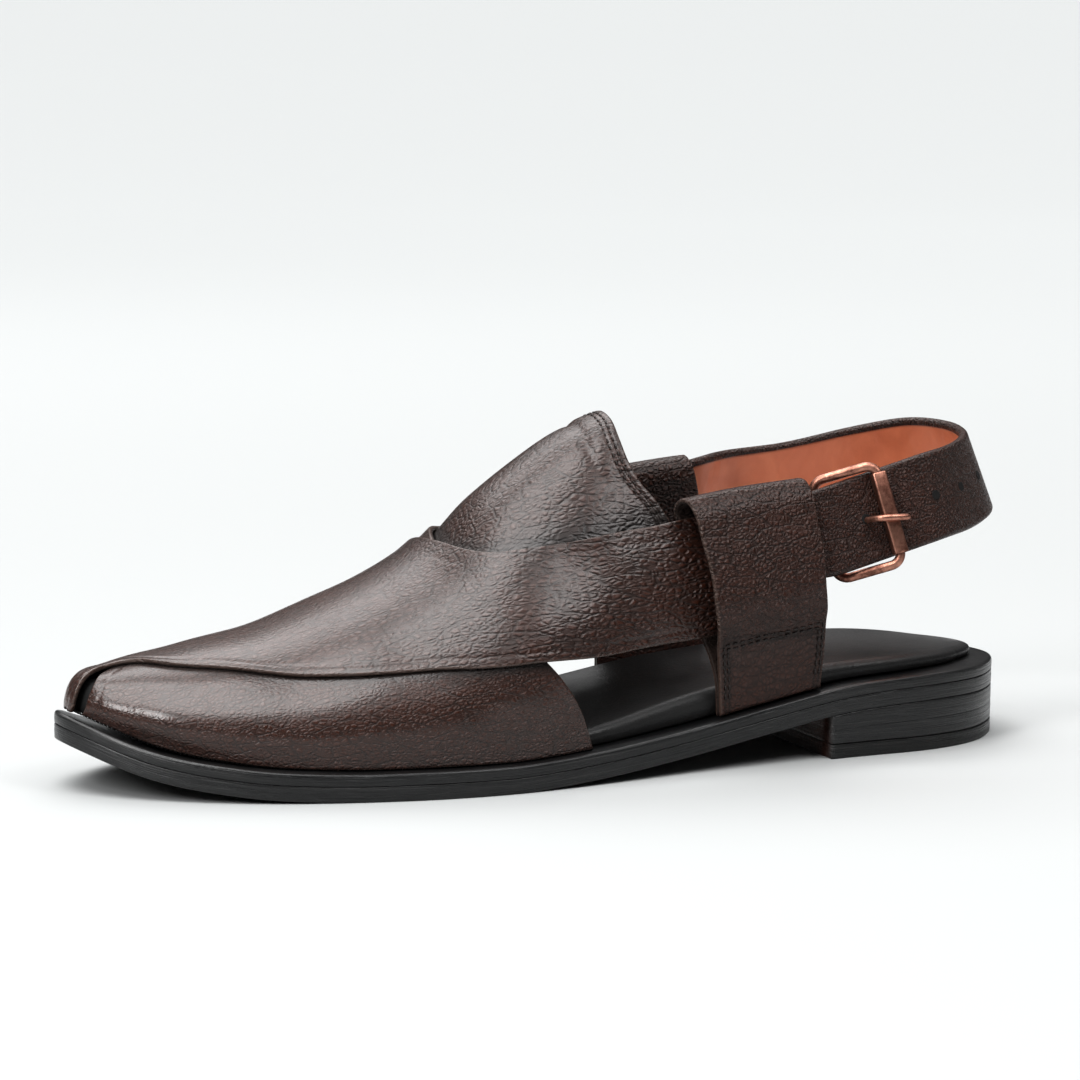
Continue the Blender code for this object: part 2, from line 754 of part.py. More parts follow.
# Where the buckle's rear bar lies, as a share of the strap's length, and the buckle's own sizes
BUCKLE_AT = 0.796
BUCKLE_TURN = 4.0
ROD = 2.8 * MM
BAR_ROD = 2.2 * MM
FRAME_LENGTH = 18 * MM
FRAME_WIDTH = 30 * MM
FRAME_CORNER = 3.4 * MM
ROLLER_LENGTH = 24.6 * MM
ROLLER_WIDTH = 4.6 * MM
ROLLER_DEPTH = 3.6 * MM
PRONG_ROD = 2.0 * MM
CHAPE_WIDTH = 22 * MM
CHAPE_REACH = 14 * MM
PRONG_SLOT = 3.4 * MM
REAR_BAR_OUT = STRAP_THICKNESS / 2 + GAP + ROLLER_DEPTH / 2
FRONT_BAR_OUT = -(STRAP_THICKNESS / 2 + GAP + CHAPE_PLY + GAP + ROD / 2)


class Seat:
    """The buckle's own axes at its rear bar: forward along the strap to the loop, out, and up."""

    def __init__(self):
        line, tangent, outward, width = strap_frames((BUCKLE_AT, BUCKLE_AT + 0.001), 2)
        turn = math.radians(BUCKLE_TURN)
        self.out = outward[0]
        self.forward = tangent[0] * math.cos(turn) + width[0] * math.sin(turn)
        self.up = width[0] * math.cos(turn) - tangent[0] * math.sin(turn)
        self.origin = line[0] + (tangent[0] - self.forward) * FRAME_LENGTH / 2

    def at(self, forward, out, up):
        return self.origin + self.forward * forward + self.out * out + self.up * up


def rod_rings(points, radii, sides, closed):
    """Rings of a round rod along points."""
    points = [Vector(p) for p in points]
    rings, normal = [], None
    for i, point in enumerate(points):
        before = points[i - 1] if closed or i else point
        after = points[(i + 1) % len(points)] if closed or i + 1 < len(points) else point
        tangent = (after - before).normalized()
        if normal is None:
            normal = tangent.orthogonal().normalized()
        normal = (normal - tangent * normal.dot(tangent)).normalized()
        other = tangent.cross(normal)
        ring = []
        for k in range(sides):
            angle = 2 * math.pi * k / sides
            ring.append(point + (normal * math.cos(angle) + other * math.sin(angle)) * radii[i])
        rings.append(ring)
    return rings


def make_strap(leather):
    """The heel strap, with the hole the prong goes through."""
    line, _, outward, width = strap_frames((0, 1), 52)
    rings = []
    for share, p, o, w in zip(np.linspace(0, 1, len(line)), line, outward, width):
        narrowing = max(ease((share - 0.87) / 0.08), ease((0.09 - share) / 0.08))
        wide = STRAP_WIDTH + (STRAP_END_WIDTH - STRAP_WIDTH) * narrowing
        rings.append([p + o * a + w * b for a, b in slab_section(wide, STRAP_THICKNESS, 0.5 * MM)])
    strap = add_object("heel_strap", skin_rings(rings), leather)
    seat = Seat()
    slot = [(7.2, -1.5), (11.2, -1.5), (11.2, 1.5), (7.2, 1.5)]
    rings = [[seat.at(f * MM, out, u * MM) for f, u in slot] for out in (-STRAP_THICKNESS, STRAP_THICKNESS)]
    join(strap, add_object("prong_hole", skin_rings(rings), leather), "DIFFERENCE")
    return strap


def make_buckle(copper, leather):
    """Frame, roller, prong and the leather chape that holds them."""
    seat = Seat()

    def bar(share):
        return REAR_BAR_OUT + share * (FRONT_BAR_OUT - REAR_BAR_OUT)

    half, turn = FRAME_WIDTH / 2, FRAME_CORNER
    corners = [(0, -1), (1, -1), (1, 1), (0, 1)]
    points, radii = [], []
    for forward, up in corners:
        centre = (turn + forward * (FRAME_LENGTH - 2 * turn), up * (half - turn))
        start = {(0, -1): 180, (1, -1): 270, (1, 1): 0, (0, 1): 90}[(forward, up)]
        for step in range(5):
            angle = math.radians(start + 22.5 * step)
            f = centre[0] + turn * math.cos(angle)
            u = centre[1] + turn * math.sin(angle)
            points.append(seat.at(f, bar(f / FRAME_LENGTH), u))
            on_bar = ease(1 - f / turn) if forward == 0 else 0.0
            radii.append((ROD + (BAR_ROD - ROD) * on_bar) / 2)
    rings = rod_rings(points, radii, 10, closed=True)
    add_object("buckle_frame", skin_rings(rings + rings[:1], closed_ends=False), copper)

    def ring_of(shape, up, forward=0.0, out=REAR_BAR_OUT):
        return [seat.at(forward + f, out + o, up) for f, o in shape]

    w, d, c = ROLLER_WIDTH / 2, ROLLER_DEPTH / 2, 0.9 * MM
    sleeve = [(-w, -d + c), (-w, d - c), (-w + c, d), (w - c, d), (w, d - c), (w, -d + c), (w - c, -d), (-w + c, -d)]
    ends = (-ROLLER_LENGTH / 2, ROLLER_LENGTH / 2)
    roller = add_object("buckle_roller", skin_rings([ring_of(sleeve, up) for up in ends]), copper)
    bore = circle(BAR_ROD / 2 + GAP, 12)
    bore_ends = (-ROLLER_LENGTH, ROLLER_LENGTH)
    join(roller, add_object("roller_bore", skin_rings([ring_of(bore, up) for up in bore_ends]), copper), "DIFFERENCE")

    # The prong: an eye round the front bar and a finger through the strap and over the roller
    eye_out, eye_in = ROD / 2 + GAP + 1.2 * MM, ROD / 2 + GAP
    hub = [ring_of(circle(eye_out, 16), up, FRAME_LENGTH, FRONT_BAR_OUT) for up in (-PRONG_ROD / 2, PRONG_ROD / 2)]
    prong = add_object("buckle_prong", skin_rings(hub), copper)
    r, top = PRONG_ROD / 2, REAR_BAR_OUT + ROLLER_DEPTH / 2 + GAP
    finger = [
        # forward, out, up
        (FRAME_LENGTH - 2.4 * MM, FRONT_BAR_OUT + 0.9 * MM, 0.0),
        (12.6 * MM, -3.3 * MM, 0.0),
        (10.4 * MM, -2.9 * MM, 0.0),
        (9.5 * MM, -1.2 * MM, 0.0),
        (9.0 * MM, 1.2 * MM, -0.1 * MM),
        (7.4 * MM, 3.6 * MM, -0.4 * MM),
        (4.6 * MM, top + r - 0.9 * MM, -1.0 * MM),
        (2.2 * MM, top + r, -1.4 * MM),
        (0.0, top + r + 0.1 * MM, -1.8 * MM),
        (-3.0 * MM, top + r, -2.4 * MM),
        (-5.2 * MM, top + r - 0.8 * MM, -2.8 * MM),
    ]
    path = [seat.at(*place) for place in finger]
    rings = rod_rings(path, [r] * (len(path) - 2) + [r * 0.9, r * 0.45], 8, closed=False)
    join(prong, add_object("prong_finger", skin_rings(rings), copper), "UNION")
    bore = [ring_of(circle(eye_in, 12), up, FRAME_LENGTH, FRONT_BAR_OUT) for up in (-PRONG_ROD * 2, PRONG_ROD * 2)]
    join(prong, add_object("prong_bore", skin_rings(bore), copper), "DIFFERENCE")

    # The chape: leather wrapped round the front bar, its two plies running into the loop as one
    wrap = eye_in + CHAPE_PLY
    around_bar = [
        (FRAME_LENGTH + wrap * math.cos(math.radians(a)), FRONT_BAR_OUT + wrap * math.sin(math.radians(a)))
        for a in range(90, 301, 30)
    ]
    top = FRONT_BAR_OUT + wrap
    end = FRAME_LENGTH + CHAPE_REACH
    outline_points = around_bar + [
        (FRAME_LENGTH + 4.5 * MM, top - CHAPE_THICKNESS - 0.6 * MM),
        (FRAME_LENGTH + 8 * MM, top - CHAPE_THICKNESS),
        (end, top - CHAPE_THICKNESS),
        (end, top),
    ]
    rings = [[seat.at(f, o, up) for f, o in outline_points] for up in (-CHAPE_WIDTH / 2, CHAPE_WIDTH / 2)]
    chape = add_object("buckle_tab", skin_rings(rings), leather)
    bore = [ring_of(circle(eye_in, 12), up, FRAME_LENGTH, FRONT_BAR_OUT) for up in (-CHAPE_WIDTH, CHAPE_WIDTH)]
    join(chape, add_object("tab_bore", skin_rings(bore), copper), "DIFFERENCE")
    slot = [(-6, -8), (4.2, -8), (4.2, 6), (-6, 6)]
    rings = [
        [seat.at(FRAME_LENGTH + f * MM, FRONT_BAR_OUT + o * MM, up) for f, o in slot]
        for up in (-PRONG_SLOT / 2, PRONG_SLOT / 2)
    ]
    join(chape, add_object("tab_slot", skin_rings(rings), copper), "DIFFERENCE")


def circle(radius, sides):
    return [
        (radius * math.cos(2 * math.pi * k / sides), radius * math.sin(2 * math.pi * k / sides))
        for k in range(sides)
    ]


def main():
    for thing in list(bpy.data.objects):
        bpy.data.objects.remove(thing)
    leather = finish("brown_leather", (0.075, 0.038, 0.028), 0.42)
    black = finish("black_leather", (0.012, 0.012, 0.012), 0.5)
    copper = finish("aged_copper", (0.36, 0.17, 0.11), 0.35, metallic=1.0)
    rubber = finish("black_rubber", (0.014, 0.014, 0.014), 0.65)
    make_sole(black, rubber)
    make_upper(leather)
    make_tongue(leather)
    make_loop("side_strap_lateral", -1, OUTER_LOOP_EDGES, OUTER_LOOP_DEPTH, 1.0, leather)
    make_loop("side_strap_medial", 1, INNER_LOOP_EDGES, INNER_LOOP_DEPTH, INNER_LOOP_STRETCH, leather)
    make_strap(leather)
    make_buckle(copper, leather)


main()
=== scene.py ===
"""The finished look of a left Peshawari chappal: two vamp bands crossed over an instep tongue, a loop on each
side, and a buckled heel strap, on a low black leather sole.

Metres, +Z up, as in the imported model. The toe points along -X and the outer side of the foot faces -Y.
"""
import math

import bpy
import numpy as np
from mathutils import Matrix, Vector


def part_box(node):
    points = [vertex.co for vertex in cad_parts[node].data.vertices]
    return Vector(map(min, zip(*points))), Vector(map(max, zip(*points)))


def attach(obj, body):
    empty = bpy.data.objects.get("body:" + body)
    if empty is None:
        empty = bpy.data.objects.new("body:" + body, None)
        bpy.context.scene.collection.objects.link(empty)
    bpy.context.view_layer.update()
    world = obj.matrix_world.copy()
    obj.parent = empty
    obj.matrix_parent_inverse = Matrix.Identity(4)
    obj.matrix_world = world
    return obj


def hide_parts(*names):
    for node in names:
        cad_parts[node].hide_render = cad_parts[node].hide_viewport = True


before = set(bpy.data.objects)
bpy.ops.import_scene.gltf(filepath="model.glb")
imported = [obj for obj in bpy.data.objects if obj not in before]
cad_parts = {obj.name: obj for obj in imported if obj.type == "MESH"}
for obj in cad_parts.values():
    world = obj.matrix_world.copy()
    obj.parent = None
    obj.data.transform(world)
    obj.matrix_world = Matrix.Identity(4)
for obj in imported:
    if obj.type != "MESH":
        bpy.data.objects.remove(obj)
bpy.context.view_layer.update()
MM = 0.001

# Outsole
# The lower layer of a black leather sole, cut to the outline of the foot with a long tapered toe. Its edge is
# trimmed, stained and burnished by hand, which leaves fine streaks along it and a soft arris at each side.
SOLE_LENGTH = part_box("outsole")[1][0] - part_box("outsole")[0][0]
BALL_WIDTH = 100 * MM
HEEL_WIDTH = 68 * MM
TOE_SPRING = 13.7 * MM
HEEL_HEIGHT = 15 * MM
OUTSOLE_THICKNESS = 4.4 * MM
GAP = 0.3 * MM
ROUND_END = 22 * MM
# Half widths of the sole: shares of the ball width in front, of the heel width behind
FORE_OUTLINE = [
    # station, outer side, inner side
    (0.00, 0.000, 0.000),
    (0.02, 0.141, 0.130),
    (0.05, 0.231, 0.212),
    (0.10, 0.331, 0.294),
    (0.15, 0.402, 0.355),
    (0.20, 0.452, 0.400),
    (0.27, 0.499, 0.444),
    (0.33, 0.522, 0.462),
    (0.40, 0.522, 0.450),
    (0.50, 0.480, 0.393),
]
REAR_OUTLINE = [
    # station, outer side, inner side
    (0.60, 0.622, 0.500),
    (0.70, 0.570, 0.467),
    (0.80, 0.525, 0.482),
    (0.88, 0.490, 0.497),
    (0.94, 0.388, 0.426),
    (0.98, 0.222, 0.252),
    (1.00, 0.000, 0.000),
]
UNDERSIDE = [
    # station, share of the toe spring, share of the heel's height
    (0.00, 1.00, 0.00),
    (0.06, 0.46, 0.00),
    (0.14, 0.13, 0.00),
    (0.25, 0.00, 0.00),
    (0.40, 0.00, 0.00),
    (0.50, 0.00, 0.12),
    (0.60, 0.00, 0.34),
    (0.70, 0.00, 0.66),
    (0.78, 0.00, 0.90),
    (0.86, 0.00, 1.00),
    (1.00, 0.00, 1.00),
]
SOLE_EDGE = [
    # share of the height, inset: a flat wall with a small arris above and below
    (0.000, 0.32 * MM),
    (0.010, 0.16 * MM),
    (0.035, 0.05 * MM),
    (0.080, 0.01 * MM),
    (0.300, 0.00 * MM),
    (0.500, -0.03 * MM),
    (0.700, 0.00 * MM),
    (0.920, 0.01 * MM),
    (0.965, 0.05 * MM),
    (0.990, 0.16 * MM),
    (1.000, 0.32 * MM),
]
WELT_EDGE = SOLE_EDGE[:6] + [
    # the midsole's top arris is rounder
    (0.660, 0.00 * MM),
    (0.800, 0.06 * MM),
    (0.910, 0.24 * MM),
    (0.975, 0.55 * MM),
    (1.000, 1.00 * MM),
]


def through(rows, column, at):
    """A smooth curve through one column of a table: cubic pieces whose slopes are the three-point averages
    of the neighbouring chords."""
    table = np.asarray(rows, float)
    x, y = table[:, 0], table[:, column]
    at = np.clip(np.asarray(at, float), x[0], x[-1])
    step = np.diff(x)
    chord = np.diff(y) / step
    slope = np.empty_like(y)
    slope[1:-1] = (step[1:] * chord[:-1] + step[:-1] * chord[1:]) / (step[1:] + step[:-1])
    slope[0], slope[-1] = chord[0], chord[-1]
    k = np.clip(np.searchsorted(x, at, side="right") - 1, 0, len(step) - 1)
    t = (at - x[k]) / step[k]
    rise = y[k] * (1 + 2 * t) * (1 - t) ** 2 + y[k + 1] * t * t * (3 - 2 * t)
    return rise + step[k] * (slope[k] * t * (1 - t) ** 2 - slope[k + 1] * t * t * (1 - t))


def ease(value):
    """A smooth step: 3t^2 - 2t^3 between 0 and 1."""
    t = np.clip(value, 0, 1)
    return t * t * (3 - 2 * t)


def wheel(station):
    """A station as the share of a half turn, which spreads the round toe and heel ends."""
    return np.arccos(1 - 2 * np.clip(station, 0, 1)) / math.pi


def unwheel(turn):
    """The station at a share of a half turn."""
    return (1 - np.cos(math.pi * np.asarray(turn, float))) / 2


TURNS = np.linspace(0, 1, 1201)


def evened(values, reach):
    """The values along the turns, averaged by a bell curve whose width is a share of the whole. Past each
    end the values go on mirrored through the end point, which therefore stays where it is."""
    half = int(3 * reach * len(TURNS))
    bell = np.exp(-0.5 * (np.arange(-half, half + 1) / (reach * len(TURNS))) ** 2)
    return np.convolve(np.pad(values, half, mode="reflect", reflect_type="odd"), bell / bell.sum(), "valid")


def smoothed(rows, column, reach):
    """One column of a table as an even curve over the turns."""
    return evened(through(rows, column, TURNS), reach)


OUTLINE = [(wheel(s), outer * BALL_WIDTH, inner * BALL_WIDTH) for s, outer, inner in FORE_OUTLINE]
OUTLINE += [(wheel(s), outer * HEEL_WIDTH, inner * HEEL_WIDTH) for s, outer, inner in REAR_OUTLINE]
SIDE_SHIFT = (max(row[1] for row in OUTLINE) - max(row[2] for row in OUTLINE)) / 2
OUTER_HALF = smoothed(OUTLINE, 1, 0.008)
INNER_HALF = smoothed(OUTLINE, 2, 0.008)


def outline(station, inset):
    """Place along X and the outer and inner half widths of the sole's outline, moved in by an inset."""
    x = (np.asarray(station, float) - 0.5) * (SOLE_LENGTH - 2 * inset)
    turn = wheel(station)
    outer, inner = np.interp(turn, TURNS, OUTER_HALF), np.interp(turn, TURNS, INNER_HALF)
    outer = outer * (1 - inset / np.maximum(outer, ROUND_END))
    inner = inner * (1 - inset / np.maximum(inner, ROUND_END))
    return x, outer, inner


def underside(station):
    """Height of the outsole's underside, flat on the ground under the ball."""
    height = through(UNDERSIDE, 1, station) * TOE_SPRING + through(UNDERSIDE, 2, station) * HEEL_HEIGHT
    return np.maximum(height, 0.0)


def quads(index):
    """Faces of a grid of vertex numbers, four corners each."""
    corners = index[:-1, :-1], index[1:, :-1], index[1:, 1:], index[:-1, 1:]
    return np.stack(corners, -1).reshape(-1, 4)


def grid_faces(rows, columns, round_rows=0, round_columns=0, start=0):
    """Faces of a grid of points, which is closed round where round_rows or round_columns is 1."""
    index = start + np.arange(rows * columns).reshape(rows, columns)
    return quads(np.pad(index, ((0, round_rows), (0, round_columns)), mode="wrap"))


def run_along(points, axis=0):
    """Length along a line or along one direction of a grid of points, starting from 0."""
    steps = np.linalg.norm(np.diff(points, axis=axis), axis=-1)
    first = np.zeros_like(np.take(steps, [0], axis))
    return np.concatenate([first, np.cumsum(steps, axis=axis)], axis)


def add_piece(name, points, faces, material, nodes=(), marks=None, chart=None):
    """One smooth mesh at the origin. marks are numbers given to each point, chart its two surface lengths."""
    faces = [list(face) for face in faces]
    corner = np.array([number for face in faces for number in face])
    used = np.unique(corner)
    renumber = np.zeros(len(points), dtype=int)
    renumber[used] = np.arange(len(used))
    mesh = bpy.data.meshes.new(name)
    faces = [renumber[face].tolist() for face in faces]
    mesh.from_pydata(np.asarray(points, float)[used].tolist(), [], faces)
    for mark, values in (marks or {}).items():
        values = np.ravel(values)[used].astype(np.float32)
        mesh.attributes.new(mark, "FLOAT", "POINT").data.foreach_set("value", values)
    if chart is not None:
        places = np.asarray(chart, np.float32).reshape(-1, 2)[corner]
        mesh.uv_layers.new(name="chart").data.foreach_set("uv", places.ravel())
    mesh.validate()
    mesh.shade_smooth()
    mesh.materials.append(material)
    piece = bpy.data.objects.new(name, mesh)
    bpy.context.scene.collection.objects.link(piece)
    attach(piece, "root")
    if nodes:
        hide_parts(*nodes)
    return piece


def tidy_ends(points, faces):
    """Gives points that fall together one number, and leaves out faces that shrink to a line."""
    keys = np.round(points / (0.002 * MM)).astype(np.int64)
    _, first, same = np.unique(keys, axis=0, return_index=True, return_inverse=True)
    faces = first[same.ravel()][faces]
    apart = faces != np.roll(faces, -1, axis=1)
    whole, three = faces[apart.sum(1) == 4], apart.sum(1) == 3
    return whole.tolist() + faces[three][apart[three]].reshape(-1, 3).tolist()


def sole_layer(name, low, high, edge, across, material, nodes, stations=None, further=None):
    """A layer of the sole. Its skin is a grid: along the sole by stations and round the section, which goes
    up the outer edge, over the top, down the inner edge and back under. A point of an edge lies at the
    given share of the height and inset; a point of the top dips by the drop at its place across. A layer
    that starts at given stations gets a flat breast there, marked breast."""
    station = unwheel(np.linspace(0, 1, 241)) if stations is None else stations
    bottom, top = low(station)[:, None], high(station)[:, None]
    edge, across = np.asarray(edge, float), np.asarray(across, float)
    inset = edge[None, :, 1] + (0 if further is None else further(station)[:, None])
    x, outer, inner = outline(station[:, None], inset)
    z = bottom + edge[None, :, 0] * (top - bottom)
    outer_wall = np.stack([x, SIDE_SHIFT - outer, z], -1)
    inner_wall = np.stack([x, SIDE_SHIFT + inner, z], -1)
    share = ((1 + across[:, 0]) / 2)[None, :, None]
    top_face = outer_wall[:, -1:] * (1 - share) + inner_wall[:, -1:] * share
    wide = np.clip(np.linalg.norm(inner_wall[:, -1] - outer_wall[:, -1], axis=-1) / ROUND_END, 0, 1)
    top_face[..., 2] -= across[None, :, 1] * wide[:, None]
    bottom_face = (outer_wall[:, :1] * (1 - share) + inner_wall[:, :1] * share)[:, ::-1]
    skin = np.concatenate([outer_wall, top_face, inner_wall[:, ::-1], bottom_face, outer_wall[:, :1]], 1)
    length = run_along(skin[:, len(SOLE_EDGE) // 2])[:, None]
    chart = np.stack(np.broadcast_arrays(length, skin[..., 2] - bottom), -1)
    faces, points, chart = grid_faces(*skin.shape[:2]), skin.reshape(-1, 3), chart.reshape(-1, 2)
    marks = {"breast": np.zeros(len(points))}
    if stations is not None:
        whole = np.concatenate([[0.0], share[0, :, 0], [1.0]])[None, :, None]
        breast = outer_wall[0][:, None] * (1 - whole) + inner_wall[0][:, None] * whole
        faces = np.concatenate([faces, grid_faces(*breast.shape[:2], start=len(points))])
        points = np.concatenate([points, breast.reshape(-1, 3)])
        chart = np.concatenate([chart, (breast[..., 1:] - breast[0, 0, 1:]).reshape(-1, 2)])
        marks["breast"] = np.concatenate([marks["breast"], np.ones(len(points) - len(marks["breast"]))])
    return add_piece(name, points, tidy_ends(points, faces), material, nodes, marks, chart)


def add_node(tree, kind, feeds=None, **settings):
    """A shader node with its settings, its inputs fed by values or by other nodes' outputs."""
    made = tree.nodes.new("ShaderNode" + kind)
    for key, value in settings.items():
        setattr(made, key, value)
    for key, value in (feeds or {}).items():
        if isinstance(value, bpy.types.NodeSocket):
            tree.links.new(value, made.inputs[key])
        else:
            made.inputs[key].default_value = value
    return made


def blank_finish(name, roughness, **values):
    """A Principled material and its node tree, with plain values set on the shader's own sockets."""
    material = bpy.data.materials.new(name)
    material.use_nodes = True
    shader = material.node_tree.nodes["Principled BSDF"]
    shader.inputs["Roughness"].default_value = roughness
    for key, value in values.items():
        shader.inputs[key.replace("_", " ")].default_value = value
    return material, material.node_tree, shader


def ramp(tree, value, low, high, to_low, to_high):
    """Maps a value's range smoothly onto another."""
    feeds = {"Value": value, "From Min": low, "From Max": high, "To Min": to_low, "To Max": to_high}
    return add_node(tree, "MapRange", feeds, interpolation_type="SMOOTHSTEP").outputs["Result"]


def total(tree, first, second):
    """The sum of two values."""
    return add_node(tree, "Math", {0: first, 1: second}, operation="ADD").outputs[0]


def product(tree, first, second):
    """The product of two values."""
    return add_node(tree, "Math", {0: first, 1: second}, operation="MULTIPLY").outputs[0]


def on_object(tree):
    """The piece's own coordinates, in metres."""
    return add_node(tree, "TexCoord").outputs["Object"]


def marked(tree, name):
    """One of the numbers given to a piece's points."""
    return add_node(tree, "Attribute", attribute_name=name).outputs["Fac"]


def noise(tree, place, scale, detail=2.0, **more):
    """A soft noise from 0 to 1; the scale is in waves per metre."""
    feeds = {"Vector": place, "Scale": scale, "Detail": detail, **more}
    return add_node(tree, "TexNoise", feeds).outputs["Fac"]


def bump(tree, height, distance, under=None):
    """The normal of a relief whose height of 1 stands a distance in metres, over another normal."""
    feeds = {"Height": height, "Distance": distance, "Strength": 1.0}
    if under is not None:
        feeds["Normal"] = under
    return add_node(tree, "Bump", feeds).outputs["Normal"]


def link_up(tree, shader, **sockets):
    """Feeds the shader's inputs, whose names have spaces for the underscores."""
    for name, socket in sockets.items():
        tree.links.new(socket, shader.inputs[name.replace("_", " ")])


def stretched(tree, socket, scale):
    """Coordinates scaled on each axis, so that a pattern on them is longer where the scale is lower."""
    return add_node(tree, "Mapping", {"Vector": socket, "Scale": scale}).outputs["Vector"]


def shade(tree, value, first, second):
    """A colour between two, by a value from 0 to 1. Each is a colour or another node's output."""
    mix = add_node(tree, "Mix", data_type="RGBA")
    tree.links.new(value, mix.inputs[0])
    for colour, socket in ((first, mix.inputs[6]), (second, mix.inputs[7])):
        if isinstance(colour, bpy.types.NodeSocket):
            tree.links.new(colour, socket)
        else:
            socket.default_value = (*colour, 1)
    return mix.outputs[2]


BREAST_BROWN = (0.050, 0.016, 0.009)


def edge_paint(name, dark, light, shine):
    """Black stain burnished along the edge: streaks from noise stretched along the chart, and fine pits. The
    breast is stained brown."""
    material, tree, shader = blank_finish(name, 0.36, Coat_Weight=shine, Coat_Roughness=0.22)
    chart = add_node(tree, "UVMap", uv_map="chart").outputs["UV"]
    fine = noise(tree, stretched(tree, chart, (28, 2600, 1)), 1.0, 5.0)
    broad = noise(tree, stretched(tree, chart, (14, 620, 1)), 1.0, 3.0)
    streak = total(tree, fine, broad)
    black = shade(tree, ramp(tree, streak, 1.05, 1.35, 0.0, 1.0), dark, light)
    pits = product(tree, noise(tree, on_object(tree), 900.0, 3.0), 0.35)
    link_up(
        tree,
        shader,
        Base_Color=shade(tree, marked(tree, "breast"), black, BREAST_BROWN),
        Roughness=ramp(tree, streak, 0.7, 1.3, 0.26, 0.52),
        Normal=bump(tree, total(tree, streak, pits), 0.34 * MM),
    )
    return material


SOLE_BLACK = edge_paint("burnished_black", (0.0045, 0.0045, 0.005), (0.03, 0.029, 0.029), 0.35)
FLAT_ACROSS = [(place, 0.0) for place in (-0.8, -0.4, 0.0, 0.4, 0.8)]
sole_layer(
    "outsole_edge",
    underside,
    lambda s: underside(s) + OUTSOLE_THICKNESS,
    SOLE_EDGE,
    FLAT_ACROSS,
    SOLE_BLACK,
    ["outsole"],
)

# Midsole
# The thinner upper layer, stitched down with the upper's turned edge between it and the footbed. It is
# trimmed flush with the outsole, and the joint between the two shows as a fine groove.
MIDSOLE_THICKNESS = 3.2 * MM
CLOSED_JOINT = 0.22 * MM


def welt_top(station):
    """Height of the midsole's top."""
    return underside(station) + OUTSOLE_THICKNESS + GAP + MIDSOLE_THICKNESS


sole_layer(
    "midsole_edge",
    lambda s: welt_top(s) - MIDSOLE_THICKNESS - CLOSED_JOINT,
    welt_top,
    WELT_EDGE,
    FLAT_ACROSS,
    SOLE_BLACK,
    ["midsole"],
)

# Heel
# A low stack of leather lifts and a rubber top piece, cut straight across at the breast and burnished with
# the sole. Each joint between two lifts shows as a groove.
TOP_PIECE_THICKNESS = 4.2 * MM
HEEL_BREAST = 0.762
BREAST_STATIONS = unwheel(np.linspace(float(wheel(HEEL_BREAST)), 1, 90))
LIFTS = 2


def lift_edge(lifts):
    """The wall of a stack: a flat edge for each lift, with a shallow groove where two meet."""
    rows = list(SOLE_EDGE[:5])
    for joint in range(1, lifts):
        level = joint / lifts
        rows += [(level - 0.04, 0.01 * MM), (level - 0.015, 0.03 * MM), (level, 0.10 * MM)]
        rows += [(level + 0.015, 0.03 * MM), (level + 0.04, 0.01 * MM)]
    return rows + list(SOLE_EDGE[-5:])


sole_layer(
    "heel_lifts",
    lambda s: np.full_like(s, TOP_PIECE_THICKNESS + GAP - CLOSED_JOINT / 2),
    lambda s: underside(s) - GAP + CLOSED_JOINT,
    lift_edge(LIFTS),
    FLAT_ACROSS,
    SOLE_BLACK,
    ["heel_stack"],
    BREAST_STATIONS,
)
RUBBER = edge_paint("black_rubber", (0.006, 0.006, 0.006), (0.02, 0.02, 0.02), 0.1)
sole_layer(
    "heel_rubber",
    lambda s: np.zeros_like(s),
    lambda s: np.full_like(s, TOP_PIECE_THICKNESS + CLOSED_JOINT / 4),
    SOLE_EDGE,
    FLAT_ACROSS,
    RUBBER,
    ["heel_top_piece"],
    BREAST_STATIONS,
)

# Footbed
# A cushion of foam covered in thin smooth black leather, glued inside the upper's turned edge. It is dished
# along its middle, thickest under the waist of the foot, and its edge rolls over softly.
FOOTBED_THICKNESS = 8 * MM
FOOTBED_INSET = 6.4 * MM
FOOTBED_TOE_INSET = 1.2 * MM
FOOTBED_DISH = 0.9 * MM
FOOTBED = [
    # station, share of the full thickness
    (0.00, 0.30),
    (0.35, 0.40),
    (0.50, 0.62),
    (0.64, 0.96),
    (0.72, 0.80),
    (0.80, 0.62),
    (0.90, 0.54),
    (1.00, 0.38),
]
FOOTBED_EDGE = [
    # share of the height, inset
    (0.00, FOOTBED_INSET + 0.60 * MM),
    (0.10, FOOTBED_INSET + 0.35 * MM),
    (0.28, FOOTBED_INSET + 0.08 * MM),
    (0.45, FOOTBED_INSET),
    (0.62, FOOTBED_INSET + 0.12 * MM),
    (0.76, FOOTBED_INSET + 0.42 * MM),
    (0.87, FOOTBED_INSET + 0.95 * MM),
    (0.95, FOOTBED_INSET + 1.65 * MM),
    (1.00, FOOTBED_INSET + 2.70 * MM),
]
ACROSS = np.linspace(-0.96, 0.96, 33)


def footbed_leather():
    """Smooth black leather with a fine tight grain and a dull, uneven sheen."""
    material, tree, shader = blank_finish("footbed_black", 0.46, Coat_Weight=0.12, Coat_Roughness=0.4)
    place = on_object(tree)
    cloud = noise(tree, place, 38.0, 4.0)
    grain = add_node(tree, "TexVoronoi", {"Vector": place, "Scale": 1500.0}, feature="SMOOTH_F1")
    height = total(tree, grain.outputs["Distance"], noise(tree, place, 700.0, 3.0))
    link_up(
        tree,
        shader,
        Base_Color=shade(tree, cloud, (0.009, 0.009, 0.0095), (0.021, 0.0205, 0.0205)),
        Roughness=ramp(tree, cloud, 0.3, 0.7, 0.36, 0.56),
        Normal=bump(tree, height, 0.09 * MM, bump(tree, cloud, 0.6 * MM)),
    )
    return material


